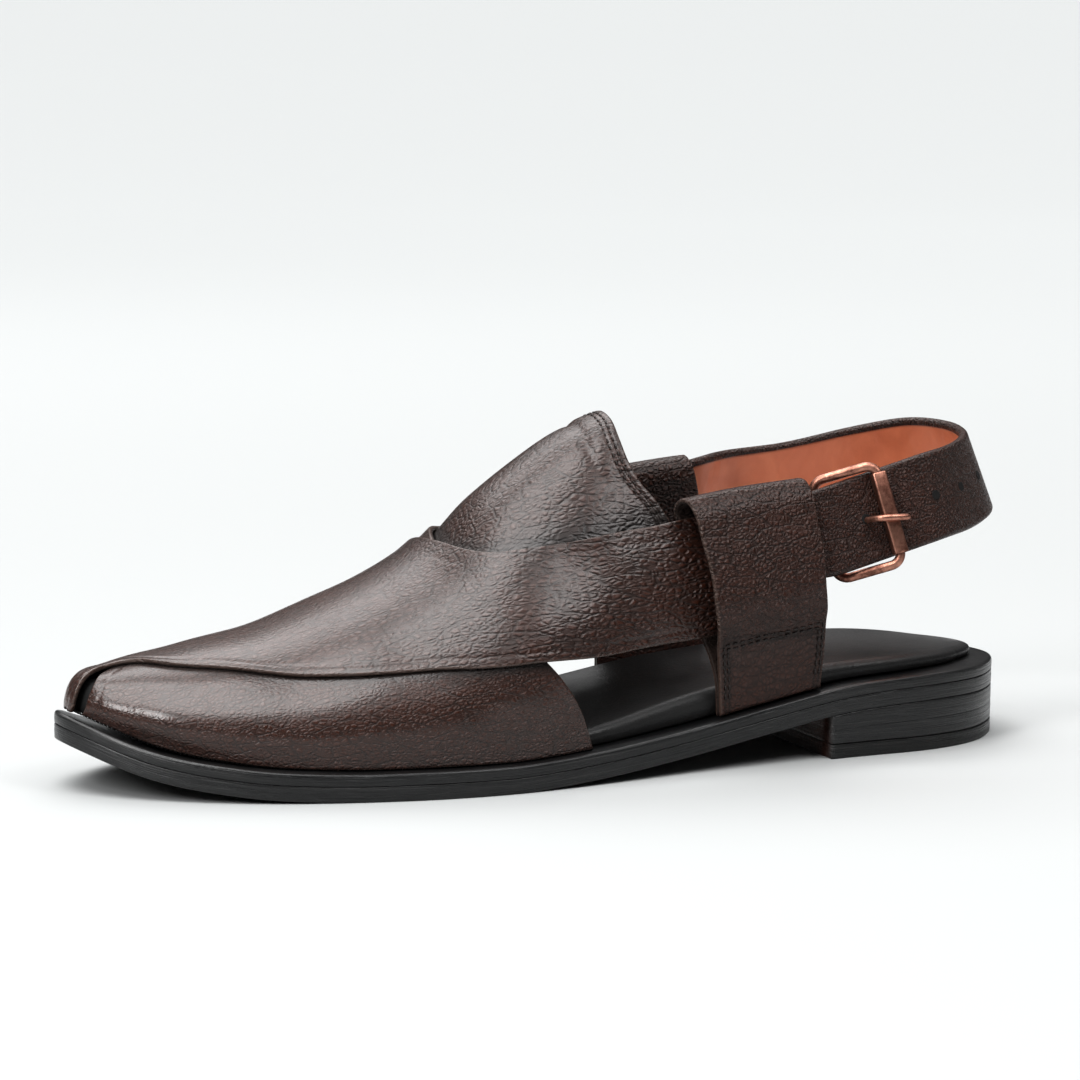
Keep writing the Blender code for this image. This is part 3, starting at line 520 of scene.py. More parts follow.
FOOTBED_LEATHER = footbed_leather()
sole_layer(
    "footbed",
    lambda s: welt_top(s) + GAP,
    lambda s: welt_top(s) + GAP + FOOTBED_THICKNESS * through(FOOTBED, 1, s),
    FOOTBED_EDGE,
    np.stack([ACROSS, FOOTBED_DISH * (1 - ACROSS**2)], -1),
    FOOTBED_LEATHER,
    ["insole"],
    further=lambda s: FOOTBED_TOE_INSET * (1 - ease((s - 0.5) / 0.15)),
)

# Tongue
# A tall shield of pebbled leather over the instep, tucked in under both vamp bands. Its rear edge is turned
# over, stitched twice, and rolls outwards at the peak, with a soft fold where the roll begins.
INSTEP_HEIGHT = 85 * MM
FEATHER_INSET = 6.2 * MM
SIDE_BULGE = 2.2 * MM
LAST = [
    # station, ridge height, ridge side, squareness of the section
    (0.000, 0.000, 0.000, 2.5),
    (0.010, 0.100, 0.002, 2.5),
    (0.031, 0.146, 0.006, 2.5),
    (0.063, 0.213, 0.012, 2.4),
    (0.105, 0.266, 0.018, 2.3),
    (0.147, 0.312, 0.023, 2.3),
    (0.197, 0.356, 0.028, 2.2),
    (0.260, 0.436, 0.034, 2.2),
    (0.317, 0.510, 0.038, 2.1),
    (0.345, 0.558, 0.040, 2.1),
    (0.374, 0.617, 0.040, 2.1),
    (0.401, 0.708, 0.040, 2.1),
    (0.433, 0.803, 0.040, 2.0),
    (0.479, 0.908, 0.040, 2.0),
    (0.530, 0.997, 0.040, 2.0),
    (0.560, 1.012, 0.040, 2.0),
    (0.606, 1.025, 0.040, 2.0),
    (0.659, 1.018, 0.040, 2.0),
    (0.764, 0.976, 0.040, 2.0),
    (1.000, 0.950, 0.040, 2.0),
]
LAST_ROWS = [(wheel(row[0]), *row[1:]) for row in LAST]
RIDGE_HEIGHT = smoothed(LAST_ROWS, 1, 0.010) * INSTEP_HEIGHT
RIDGE_SIDE = smoothed(LAST_ROWS, 2, 0.010) * BALL_WIDTH
SQUARENESS = smoothed(LAST_ROWS, 3, 0.010)


def side_width(station, around):
    """Distance across from the ridge to the feather line on the side that around lies on, and the ridge."""
    _, outer, inner = outline(station, FEATHER_INSET)
    ridge = np.interp(wheel(station), TURNS, RIDGE_SIDE)
    return np.where(np.asarray(around) < 0, outer + ridge, inner - ridge), ridge


def last_point(station, around):
    """A point of the form that the leather is pulled over. around runs from -1 at the outer feather line
    over the ridge at 0 to 1 at the inner one, as a share of a quarter turn of a superellipse whose height is
    the ridge's, with a slight bulge low down."""
    station, around = np.broadcast_arrays(np.asarray(station, float), np.asarray(around, float))
    width, ridge = side_width(station, around)
    x, _, _ = outline(station, FEATHER_INSET)
    turn = wheel(station)
    square, height = np.interp(turn, TURNS, SQUARENESS), np.interp(turn, TURNS, RIDGE_HEIGHT)
    angle = np.abs(around) * math.pi / 2
    reach = (np.sin(angle) ** square + np.maximum(np.cos(angle), 0) ** square) ** (-1 / square)
    low_down = np.clip((np.abs(around) - 0.5) / 0.5, 0, 1)
    bulge = SIDE_BULGE * np.sin(math.pi * low_down) ** 2 * np.clip(width / ROUND_END, 0, 1)
    y = ridge + np.sign(around) * (width * reach * np.sin(angle) + bulge)
    z = welt_top(station) + GAP + height * reach * np.cos(angle)
    return np.stack([x, y + SIDE_SHIFT, z], -1)


def unit(vectors):
    """Vectors of length 1."""
    return vectors / np.maximum(np.linalg.norm(vectors, axis=-1, keepdims=True), 1e-12)


def last_normal(station, around):
    """The outward direction, from small steps along the form and round it."""
    turn = np.clip(wheel(station), 0.012, 0.988)
    around = np.clip(np.asarray(around, float), -0.995, 0.995)
    step = 4e-3
    forward = last_point(unwheel(turn + step), around) - last_point(unwheel(turn - step), around)
    over = last_point(unwheel(turn), around + step) - last_point(unwheel(turn), around - step)
    return unit(np.cross(forward, over))


def off_last(station, around, offset):
    """A point at an offset out from the form."""
    return last_point(station, around) + last_normal(station, around) * np.asarray(offset, float)[..., None]


def edge_distances(points):
    """Distance of each grid point along the surface to the grid's first row, last row, first column and
    last column."""
    down, right = run_along(points, 0), run_along(points, 1)
    return down, down[-1:] - down, right, right[:, -1:] - right


def sheet_skin(low, high, square=2.6):
    """Two faces of a leather that meet along a rounded edge, and each point's distance to it. Both grids
    draw in to the middle of the thickness by a superellipse of that distance."""
    middle, half = (low + high) / 2, (high - low) / 2
    nearest = np.minimum.reduce(edge_distances(high))
    share = np.clip(nearest / (np.linalg.norm(half, axis=-1) * 0.9), 0, 1)
    full = ((1 - (1 - share) ** square) ** (1 / square))[..., None]
    return middle - half * full, middle + half * full, nearest


def grid_normals(points):
    """Unit normals of a grid of points, by the cross product of its two directions."""
    return unit(np.cross(np.gradient(points, axis=0), np.gradient(points, axis=1)))


def facing(low, high):
    """1 where a grid's own normals point outwards, -1 where they point in."""
    return 1 if np.sum(grid_normals(high) * (high - low)) > 0 else -1


def leather_sheet(name, low, high, material, nodes, **marks):
    """A closed piece of leather between two grids of points that share their rim. The mark flesh is 1 on
    the inner face and rim is 1 on the cut edge."""
    turn = facing(low, high)
    low, high, nearest = sheet_skin(low, high)
    rows, columns = high.shape[:2]
    top = np.arange(rows * columns).reshape(rows, columns)
    under = top.copy()
    under[1:-1, 1:-1] = top.size + np.arange((rows - 2) * (columns - 2)).reshape(rows - 2, columns - 2)
    faces = np.concatenate([quads(top), quads(under)[:, ::-1]])[:, ::turn]

    def both(outer, inner):
        """Numbers or places of the outer face's points, then of the inner face's inside the rim."""
        width = outer.shape[2:]
        return np.concatenate([outer.reshape(-1, *width), inner[1:-1, 1:-1].reshape(-1, *width)])

    marks = {key: both(grid, grid) for key, grid in marks.items()}
    rim = 1 - ease(nearest / RIM_WIDTH)
    marks = {"rim": both(rim, rim), "flesh": both(np.zeros(top.shape), np.ones(top.shape)), **marks}
    lengths = np.stack([run_along(high, 0), run_along(high, 1)], -1)
    points = both(high, low)
    faces = tidy_ends(points, faces)
    return add_piece(name, points, faces, material, nodes, marks, both(lengths, lengths))


RIM_WIDTH = 0.8 * MM
CUT_EDGE = (0.095, 0.060, 0.047)
FLESH_SIDE = (0.032, 0.018, 0.013)
SEAM_AND_SHADE_BROWN = (0.004, 0.0018, 0.0012)
BROWN_DARK = (0.020, 0.0060, 0.0028)
BROWN_LIGHT = (0.052, 0.0155, 0.0078)
WAX_FILM = 0.09


def cracks(tree, place, scale):
    """Distance to the nearest edge between the cells of a pattern, with the scale in cells per metre."""
    feeds = {"Vector": place, "Scale": scale}
    return add_node(tree, "TexVoronoi", feeds, feature="DISTANCE_TO_EDGE").outputs["Distance"]


def leather(name, cell, stretch, depth, rough, coat, calm=None, polish=0.26):
    """Waxed brown leather. The grain is a cellular pattern of rounded pebbles, cell metres apart, drawn out
    along X by the stretch and bent by a soft noise; its valleys are darker and duller, and the film of wax
    over it is smoother. Broader noise gives slack wrinkles and uneven wax. calm is a range along one axis
    over which the grain fades out. The cut edge and the flesh side are rougher. The seam mark makes the
    leather darker and duller: painted shade along the edge of a band that lies on top, and darker leather
    along the loop's stitch rows."""
    material, tree, shader = blank_finish(name, rough, Coat_Weight=coat, Coat_Roughness=polish)
    shader.inputs["Specular IOR Level"].default_value = 0.36
    place = on_object(tree)
    wander = add_node(tree, "TexNoise", {"Vector": place, "Scale": 0.09 / cell}).outputs["Color"]
    bend = add_node(tree, "VectorMath", {0: wander, 1: (0.5, 0.5, 0.5)}, operation="SUBTRACT").outputs[0]
    bend = add_node(tree, "VectorMath", {0: bend, "Scale": cell * 1.8}, operation="SCALE").outputs[0]
    bent = add_node(tree, "VectorMath", {0: place, 1: bend}, operation="ADD").outputs[0]
    long_way = stretched(tree, bent, (1 / stretch, 1.0, 1.0))
    longer_way = stretched(tree, bent, (0.42 / stretch, 1.0, 1.0))
    pebble = ramp(tree, cracks(tree, long_way, 1 / cell), 0.0, 0.38, 0.0, 1.0)
    fold = ramp(tree, cracks(tree, longer_way, 0.42 / cell), 0.0, 0.10, 0.0, 1.0)
    deep = total(tree, pebble, product(tree, fold, 0.6))
    pores = noise(tree, long_way, 3.6 / cell, 4.0, Roughness=0.6)
    grain = total(tree, deep, product(tree, pores, 0.35))
    if calm is not None:
        axis, start, end, least = calm
        along = add_node(tree, "SeparateXYZ", {0: place}).outputs[axis]
        grain = product(tree, grain, ramp(tree, along, start, end, least, 1.0))
    cloud = noise(tree, place, 55.0, 5.0, Roughness=0.55)
    tone = total(tree, product(tree, deep, 0.50), product(tree, cloud, 0.7))
    rim, flesh, seam = (marked(tree, name) for name in ("rim", "flesh", "seam"))
    colour = shade(tree, ramp(tree, tone, 0.35, 1.15, 0.0, 1.0), BROWN_DARK, BROWN_LIGHT)
    # The seam mark: painted shade along the edge of a band lying on top, and darker leather along the loop's
    # stitch rows
    colour = shade(tree, product(tree, seam, 0.85), colour, SEAM_AND_SHADE_BROWN)
    colour = shade(tree, product(tree, rim, 0.75), colour, CUT_EDGE)
    colour = shade(tree, flesh, colour, FLESH_SIDE)
    dull = total(tree, ramp(tree, deep, 0.2, 1.7, 0.22, 0.0), rough - 0.08)
    for value, share in ((cloud, 0.16), (flesh, 0.3), (seam, 0.25)):
        dull = total(tree, dull, product(tree, value, share))
    slack = noise(tree, stretched(tree, bent, (0.5, 1.0, 1.0)), 150.0, 3.0)
    normal = bump(tree, grain, depth, bump(tree, slack, 0.7 * MM))
    film = bump(tree, grain, depth * WAX_FILM)
    link_up(tree, shader, Base_Color=colour, Roughness=dull, Normal=normal, Coat_Normal=film)
    return material


TONGUE_LEATHER = leather("pebbled_brown", 1.5 * MM, 1.7, 0.60 * MM, 0.36, 0.85)
TONGUE_THICKNESS = 2 * MM
TONGUE_FRONT = 0.260
TONGUE_REAR = [
    # share of the way across, station
    (0.00, 0.572),
    (0.17, 0.570),
    (0.36, 0.567),
    (0.52, 0.570),
    (0.65, 0.579),
    (0.76, 0.592),
    (0.86, 0.602),
    (1.00, 0.605),
]
TONGUE_HALF = [
    # share of the way back, around
    (0.00, 0.36),
    (0.35, 0.48),
    (0.70, 0.59),
    (1.00, 0.62),
]
TONGUE_FLARE = 0.8 * MM
TONGUE_PRESS = 0.7 * MM
TONGUE_PUFF = 1.0 * MM
TURNED_EDGE = 9.0 * MM
TURNED_RISE = 0.55 * MM
FOLD = (1.6 * MM, 0.35 * MM)
TONGUE_SEAMS = (2.3 * MM, 4.1 * MM)
TONGUE_SEAM_DITCH = (0.45 * MM, 0.22 * MM)


def ditch(distance, middle, width, depth):
    """A bell-shaped groove at a distance from an edge."""
    return -depth * np.exp(-(((distance - middle) / width) ** 2))


def tongue_faces():
    """The tongue's two faces: the form, pressed in under the bands, puffed up where it is free of them and
    flared at the peak, with the turned edge standing proud behind its fold."""
    across = np.linspace(-1, 1, 181)[None, :]
    back = (np.sin(np.linspace(0, 1, 150) * math.pi / 2))[:, None] ** 1.2
    station = TONGUE_FRONT + back * (through(TONGUE_REAR, 1, np.abs(across)) - TONGUE_FRONT)
    around = across * through(TONGUE_HALF, 1, back)
    middle = ease((0.67 - np.abs(across)) / 0.42)
    flare = TONGUE_FLARE * ease((back - 0.86) / 0.14) * middle
    puff = TONGUE_PUFF * ease((back - 0.42) / 0.14) * middle
    press = TONGUE_PRESS * (1 - ease((back - 0.36) / 0.12) * middle)
    face = flare + puff - press
    rear = edge_distances(off_last(station, around, face))[1]
    free = ease((back - 0.5) / 0.2) * middle
    relief = ditch(rear, TURNED_EDGE + 1.5 * MM, *FOLD) * free
    relief = relief + TURNED_RISE * ease((TURNED_EDGE + 1.0 * MM - rear) / (3.0 * MM)) * free
    for seam in TONGUE_SEAMS:
        relief = relief + ditch(rear, seam, *TONGUE_SEAM_DITCH)
    low, high = off_last(station, around, face - TONGUE_THICKNESS), off_last(station, around, face + relief)
    return station, around, low, high


def line_at(low, points, side, distance):
    """The line on a sheet's outer face that keeps a distance from one side of it: 0 first row, 1 last row,
    2 first column, 3 last column. Gives its points and the surface's normals there."""
    run = edge_distances(points)[side]
    normal = grid_normals(points) * facing(low, points)
    if side < 2:
        points, normal, run = (np.swapaxes(grid, 0, 1) for grid in (points, normal, run))
    if side in (1, 3):
        points, normal, run = points[:, ::-1], normal[:, ::-1], run[:, ::-1]
    rows = np.arange(len(run))
    k = np.clip((run < distance).sum(1), 1, run.shape[1] - 1)
    low, high = run[rows, k - 1], run[rows, k]
    t = ((distance - low) / np.maximum(high - low, 1e-9))[:, None]
    return (points[rows, k - 1] * (1 - t) + points[rows, k] * t, normal[rows, k])


def read_off(at, run, rows):
    """Rows of numbers read off at places along a run, each column by itself."""
    return np.stack([np.interp(at, run, column) for column in rows.T], -1)


def stitches(name, lines, thread, length, pitch, material):
    """Rows of stitches as one mesh. Each stitch is a short round thread along the line, whose ends dip into
    the leather: a tube of eight rings on a shallow arch, laid on the line's points and normals."""
    sides, rings = 6, 8
    t = np.linspace(-1, 1, rings)
    thick = thread / 2 * np.sqrt(np.maximum(1 - t**6, 0.05))
    arch = thread * (0.28 - 0.75 * t**4)
    angle = np.linspace(0, 2 * math.pi, sides, endpoint=False)
    tube, made, faces, count = grid_faces(rings, sides, 0, 1), [], [], 0
    for points, normals in lines:
        run = run_along(points)
        number = max(1, int(run[-1] / pitch))
        centres = (np.arange(number) + 0.5) * run[-1] / number
        at = np.clip(centres[:, None] + t[None, :] * length / 2, 0, run[-1])
        spine = read_off(at, run, points)
        ahead = unit(np.gradient(spine, axis=1))
        beside = unit(np.cross(ahead, read_off(at, run, normals)))
        up = np.cross(beside, ahead)
        centre = spine + up * arch[None, :, None]
        ring = np.cos(angle)[:, None] * beside[:, :, None] + np.sin(angle)[:, None] * up[:, :, None]
        made.append((centre[:, :, None] + ring * thick[None, :, None, None]).reshape(-1, 3))
        shift = count + np.arange(number) * rings * sides
        faces += (tube[None] + shift[:, None, None]).reshape(-1, 4).tolist()
        for end, turn in ((0, 1), (rings - 1, -1)):
            cap = (end * sides + np.arange(sides))[::turn]
            faces += (cap[None] + shift[:, None]).tolist()
        count += number * rings * sides
    return add_piece(name, np.concatenate(made), faces, material)


def waxed_thread():
    """Thick waxed thread, nearly black, with a slight shine."""
    material, tree, shader = blank_finish("waxed_thread", 0.5, Coat_Weight=0.2, Coat_Roughness=0.3)
    feeds = {"Vector": on_object(tree), "Scale": 900.0, "Distortion": 2.0}
    twist = add_node(tree, "TexWave", feeds, bands_direction="DIAGONAL").outputs["Fac"]
    colour = shade(tree, twist, (0.008, 0.005, 0.004), (0.024, 0.014, 0.011))
    link_up(tree, shader, Base_Color=colour, Normal=bump(tree, twist, 0.08 * MM))
    return material


THREAD = waxed_thread()
THREAD_WIDTH = 0.52 * MM
STITCH = 1.9 * MM
STITCH_PITCH = 2.5 * MM

# Vamp bands
# Two bands of soft full-grain leather. The outer one starts at the sole on the outer side and crosses under
# the inner one, which wraps the toe and runs up the outer side to the loop. They are lasted at the sole and
# sewn where they cross. Their free edges are turned and skived, with a pressed line along them.
BAND_LEATHER = 1.9 * MM
CROSSING_BLEND = 20 * MM
CROSSING_MARGIN = 2 * MM
CROSSING_STEP = 1.5 * MM
# Width and depth of the lines pressed along a band's front and rear edge, and their distances from it
FRONT_LINE = (0.8 * MM, 0.13 * MM)
REAR_LINE = (1.1 * MM, 0.07 * MM)
OUTER_LINES = (4.0 * MM, 4.0 * MM)
INNER_LINES = (3.2 * MM, 5.5 * MM)
# How far the painted shade reaches from the edge of the band that lies on top
SHADE_BY_INNER = 6.0 * MM
SHADE_BY_OUTER = 4.0 * MM
SHADE_AT_CROSSING = 2.2 * MM
OUTER_BAND_FRONT = [
    # station, around
    (0.004, -1.00),
    (0.008, -0.77),
    (0.017, -0.20),
    (0.030, 0.00),
    (0.060, 0.20),
    (0.120, 0.40),
    (0.220, 0.58),
    (0.330, 0.66),
    (0.430, 0.75),
    (0.530, 0.80),
    (0.630, 0.82),
    (0.680, 0.82),
]
OUTER_BAND_REAR = [
    # station, around
    (0.489, -1.00),
    (0.476, -0.91),
    (0.458, -0.83),
    (0.425, -0.70),
    (0.393, -0.50),
    (0.379, -0.25),
    (0.382, -0.06),
    (0.393, 0.12),
    (0.415, 0.32),
    (0.450, 0.44),
    (0.517, 0.515),
    (0.614, 0.540),
    (0.690, 0.55),
]
INNER_BAND_FRONT = [
    # station, around
    (0.001, -1.00),
    (0.004, -0.50),
    (0.008, -0.36),
    (0.014, -0.20),
    (0.026, 0.04),
    (0.048, 0.01),
    (0.078, -0.22),
    (0.125, -0.36),
    (0.180, -0.472),
    (0.253, -0.575),
    (0.329, -0.635),
    (0.406, -0.722),
    (0.495, -0.790),
    (0.591, -0.814),
    (0.710, -0.825),
]
INNER_BAND_REAR = [
    # station, around
    (0.489, 1.00),
    (0.476, 0.91),
    (0.458, 0.83),
    (0.425, 0.70),
    (0.398, 0.50),
    (0.382, 0.25),
    (0.380, 0.05),
    (0.384, -0.10),
    (0.393, -0.24),
    (0.410, -0.345),
    (0.440, -0.415),
    (0.474, -0.468),
    (0.515, -0.512),
    (0.561, -0.533),
    (0.614, -0.540),
    (0.710, -0.55),
]
# Where each band is lasted, as shares of a half turn round the sole from the toe, outer side negative
OUTER_FEATHER = (-0.040, -0.493)
INNER_FEATHER = (-0.020, 0.493)


def to_chart(station, around):
    """Flat chart of the form: place along X, and the way round measured out from the ridge."""
    width, ridge = side_width(station, around)
    x, _, _ = outline(station, FEATHER_INSET)
    return np.stack([x, ridge + np.asarray(around, float) * width], -1)


def from_chart(point):
    """Stations and arounds of places on the chart."""
    station = np.clip(point[..., 0] / (SOLE_LENGTH - 2 * FEATHER_INSET) + 0.5, 0, 1)
    _, outer, inner = outline(station, FEATHER_INSET)
    ridge = np.interp(wheel(station), TURNS, RIDGE_SIDE)
    out = point[..., 1] - ridge
    width = np.where(out < 0, outer + ridge, inner - ridge)
    return station, np.clip(out / np.maximum(width, 1e-6), -1, 1)


def by_length(points, rows=None):
    """A table that starts with each point's share of the line's length, then the points or given rows."""
    run = run_along(points)
    return np.column_stack([run / run[-1], points if rows is None else rows])


def edge_line(rows, share):
    """An edge of a leather as chart points at shares of its length: a smooth curve through the rows."""
    table = by_length(to_chart(*np.asarray(rows, float).T))
    return read_off(share, TURNS, np.stack([smoothed(table, column, 0.012) for column in (1, 2)], -1))


def band_grid(front_rows, rear_rows, feather, lengthways, across):
    """Stations and arounds of a band: ruled between its front and rear edges, its first row bent to the
    feather line, with the bend dying away by the cube of what is left of the length. Steps are closer at
    the edges."""
    s, t = unwheel(np.linspace(0, 1, lengthways)), unwheel(np.linspace(0, 1, across))
    front, rear = edge_line(front_rows, s), edge_line(rear_rows, s)
    turn = feather[0] + t * (feather[1] - feather[0])
    start = to_chart(unwheel(np.abs(turn)), np.where(turn < 0, -1.0, 1.0))
    front[0], rear[0] = start[0], start[-1]
    ruled = (1 - t)[None, :, None] * front[:, None] + t[None, :, None] * rear[:, None]
    return from_chart(ruled + ((1 - s) ** 3)[:, None, None] * (start[None] - ruled[:1]))


def to_piece(chart, start, end):
    """How far along a straight piece of the chart each point lies, as a share, and its distance to it."""
    along = end - start
    share = ((chart - start) @ along) / max(along @ along, 1e-12)
    nearest = start + np.clip(share, 0, 1)[..., None] * along
    return share, np.linalg.norm(chart - nearest, axis=-1)


def near_edge(station, around, rows, width):
    """1 at an edge of a band, falling to 0 at a distance from it on the chart."""
    chart, line = to_chart(station, around), edge_line(rows, np.linspace(0, 1, 120))
    nearest = np.minimum.reduce([to_piece(chart, *ends)[1] for ends in zip(line[:-1], line[1:])])
    return 1 - ease(nearest / width)


def over_outer_band(station, around):
    """1 where the outer band lies below, falling smoothly to 0 past its edges. On the chart a point is over
    the band where the band's outline goes once round it."""
    chart, share = to_chart(station, around), np.linspace(0, 1, 90)
    corners = np.concatenate([edge_line(OUTER_BAND_FRONT, share), edge_line(OUTER_BAND_REAR, share)[::-1]])
    x, y = chart[..., 0], chart[..., 1]
    nearest, inside = np.full(x.shape, np.inf), np.zeros(x.shape, dtype=bool)
    for start, end in zip(corners, np.roll(corners, -1, axis=0)):
        nearest = np.minimum(nearest, to_piece(chart, start, end)[1])
        spans = (start[1] > y) != (end[1] > y)
        slope = (end[0] - start[0]) / (end[1] - start[1]) if spans.any() else 0.0
        inside ^= spans & (x < start[0] + (y - start[1]) * slope)
    return np.where(inside, 1.0, ease(1 - (nearest - CROSSING_MARGIN) / CROSSING_BLEND))


def creases(station, around, rows):
    """Soft troughs and ridges: each row is a straight line on the chart between two places, with the width
    of its bell-shaped section and its height, which fades towards both ends."""
    chart, relief = to_chart(station, around), 0.0
    for start_station, start_around, end_station, end_around, width, height in rows:
        start, end = to_chart(start_station, start_around), to_chart(end_station, end_around)
        share, distance = to_piece(chart, start, end)
        fade = ease(np.clip(share + 0.25, 0, 1) / 0.5) * ease(np.clip(1.25 - share, 0, 1) / 0.5)
        relief = relief + height * np.exp(-((distance / width) ** 2)) * fade
    return relief


def band_faces(station, around, over, relief, front_line, rear_line):
    """A band's two faces, with its pressed lines at their distances from the front and the rear edge."""
    low = off_last(station, around, GAP + (BAND_LEATHER + 0.05 * MM) * over)
    plain = GAP + BAND_LEATHER + CROSSING_STEP * over + relief
    _, _, from_front, from_rear = edge_distances(off_last(station, around, plain))
    pressed = ditch(from_front, front_line, *FRONT_LINE) + ditch(from_rear, rear_line, *REAR_LINE)
    return low, off_last(station, around, plain + pressed)


# The tongue lies under both bands, and painted shade darkens it along their edges
station, around, low, high = tongue_faces()
by_inner = near_edge(station, around, INNER_BAND_REAR, SHADE_BY_INNER)
by_outer = near_edge(station, around, OUTER_BAND_REAR, SHADE_BY_OUTER)
leather_sheet("tongue_leather", low, high, TONGUE_LEATHER, ["tongue"], seam=np.maximum(by_inner, by_outer))
tongue_rows = [line_at(low, high, 1, distance) for distance in TONGUE_SEAMS]
stitches("tongue_stitches", tongue_rows, THREAD_WIDTH, STITCH, STITCH_PITCH, THREAD)

OUTER_CREASES = [
    # from station, around, to station, around, width, height
    (0.400, -0.98, 0.340, -0.72, 5.0 * MM, -0.35 * MM),
    (0.300, -0.97, 0.330, -0.74, 6.0 * MM, 0.25 * MM),
    (0.440, -0.90, 0.380, -0.74, 4.0 * MM, 0.25 * MM),
]
INNER_CREASES = [
    # from station, around, to station, around, width, height
    (0.470, -0.50, 0.540, -0.76, 6.0 * MM, -0.55 * MM),
    (0.520, -0.55, 0.590, -0.78, 5.5 * MM, 0.45 * MM),
    (0.400, -0.42, 0.450, -0.70, 6.0 * MM, 0.35 * MM),
    (0.350, -0.20, 0.420, -0.55, 6.0 * MM, -0.35 * MM),
    (0.280, -0.50, 0.380, -0.66, 5.0 * MM, -0.25 * MM),
    (0.250, 0.60, 0.350, 0.90, 6.0 * MM, -0.30 * MM),
]
# The grain is calm over the toe, where the leather is stretched on the last
OUTER_VAMP = leather("vamp_brown", 1.1 * MM, 1.5, 0.30 * MM, 0.30, 0.85, ("X", -0.11, 0.0, 0.55), 0.22)
INNER_VAMP = leather("creased_brown", 1.35 * MM, 1.9, 0.50 * MM, 0.33, 0.90, ("X", -0.12, 0.0, 0.35))
station, around = band_grid(OUTER_BAND_FRONT, OUTER_BAND_REAR, OUTER_FEATHER, 230, 170)
relief = creases(station, around, OUTER_CREASES)
low, high = band_faces(station, around, np.zeros_like(station), relief, *OUTER_LINES)
# The outer band is darkened along the inner band's front edge: painted shade
seam = near_edge(station, around, INNER_BAND_FRONT, SHADE_AT_CROSSING)
leather_sheet("outer_band", low, high, OUTER_VAMP, ["upper"], seam=seam)
station, around = band_grid(INNER_BAND_FRONT, INNER_BAND_REAR, INNER_FEATHER, 250, 180)
relief = creases(station, around, INNER_CREASES)
low, high = band_faces(station, around, over_outer_band(station, around), relief, *INNER_LINES)
leather_sheet("inner_band", low, high, INNER_VAMP, ["upper"])

# Toe lining
# A thin lining under the two bands, which shows in the slit between them at the toe. Its near-black colour is
# painted shade in the slit.
LINED = 0.30
LINING_OUT = 0.15 * MM
LINING_IN = -0.50 * MM
LINING_DROP = 0.45 * MM
station = LINED * np.linspace(0.0, 1, 60)[:, None] ** 1.6
station, around = np.broadcast_arrays(station, np.linspace(-1, 1, 81)[None, :])
drop = (np.abs(around)[..., None] > 0.999) * np.array([0, 0, LINING_DROP])
low = off_last(station, around, np.full(station.shape, LINING_IN)) - drop
high = off_last(station, around, np.full(station.shape, LINING_OUT)) - drop
painted_shade_lining, _, _ = blank_finish("painted_shade_lining", 0.8, Base_Color=(0.006, 0.006, 0.006, 1))
leather_sheet("toe_lining", low, high, painted_shade_lining, ["upper"])

# Welt
# The line where the upper turns in under the footbed: a row of small tight stitches in black thread.
WELT_STITCH = 1.0 * MM
WELT_PITCH = 1.35 * MM
WELT_THREAD = 0.7 * MM
WELT_INSET = FEATHER_INSET - 1.0 * MM
WELT_END = 0.49
black_thread, _, _ = blank_finish("black_thread", 0.6, Base_Color=(0.006, 0.0055, 0.0055, 1))
welt_rows = []
station = unwheel(np.linspace(0, wheel(WELT_END), 400))
x, outer, inner = outline(station, WELT_INSET)
for side in (-outer, inner):
    points = np.stack([x, SIDE_SHIFT + side, welt_top(station)], -1)
    welt_rows.append((points, np.tile([0.0, 0.0, 1.0], (len(points), 1))))
stitches("welt_stitches", welt_rows, WELT_THREAD, WELT_STITCH, WELT_PITCH, black_thread)

# Side loops
# A strip of pebbled leather folded over the end of each band and the heel strap. Its two legs are sewn
# together below with a double row of stitches, and go down between the footbed and the sole.
LOOP_LEATHER = 1.6 * MM
BAND_ROOM = GAP + BAND_LEATHER + GAP
OUTER_LOOP_DEPTH = 9.5 * MM
INNER_LOOP_DEPTH = 7.0 * MM
INNER_LOOP_STRETCH = 1.08
OUTER_LOOP_EDGES = [
    # around, front station, rear station
    (0.38, 0.598, 0.736),
    (0.50, 0.606, 0.746),
    (0.56, 0.611, 0.749),
    (0.63, 0.614, 0.750),
    (0.70, 0.618, 0.752),
    (0.76, 0.619, 0.751),
    (0.82, 0.625, 0.756),
    (0.88, 0.634, 0.763),
    (1.00, 0.641, 0.762),
]
INNER_LOOP_EDGES = [
    # around, front station, rear station
    (0.38, 0.606, 0.690),
    (0.50, 0.608, 0.702),
    (0.63, 0.608, 0.716),
    (0.80, 0.607, 0.728),
    (1.00, 0.606, 0.733),
]
LOOP_MIDDLE = [
    # around, leather, band room, spare depth: the strip's middle, from outside below over the fold to inside
    (1.000, 0.10, 1.00, 0.00),
    (0.930, 0.30, 1.00, 0.00),
    (0.880, 0.50, 1.00, 0.07),
    (0.838, 0.50, 1.00, 0.43),
    (0.808, 0.50, 1.00, 0.77),
    (0.770, 0.50, 1.00, 0.965),
    (0.710, 0.50, 1.00, 1.00),
    (0.620, 0.50, 1.00, 1.00),
    (0.545, 0.50, 1.00, 0.985),
    (0.514, 0.35, 1.00, 0.86),
    (0.500, 0.10, 1.00, 0.53),
    (0.499, 0.00, 0.85, 0.12),
    (0.506, -0.15, 0.35, 0.00),
    (0.528, -0.55, 0.05, 0.00),
    (0.572, -0.65, 0.00, 0.00),
    (0.650, -0.65, 0.00, 0.00),
    (0.750, -0.65, 0.00, 0.00),
    (0.835, -0.65, 0.00, 0.00),
    (0.870, -0.55, 0.25, 0.00),
    (0.930, -0.78, 1.00, 0.00),
    (1.000, -0.95, 1.00, 0.00),
]
OUTER_LEG = 110
LOOP_THREAD = 0.66 * MM
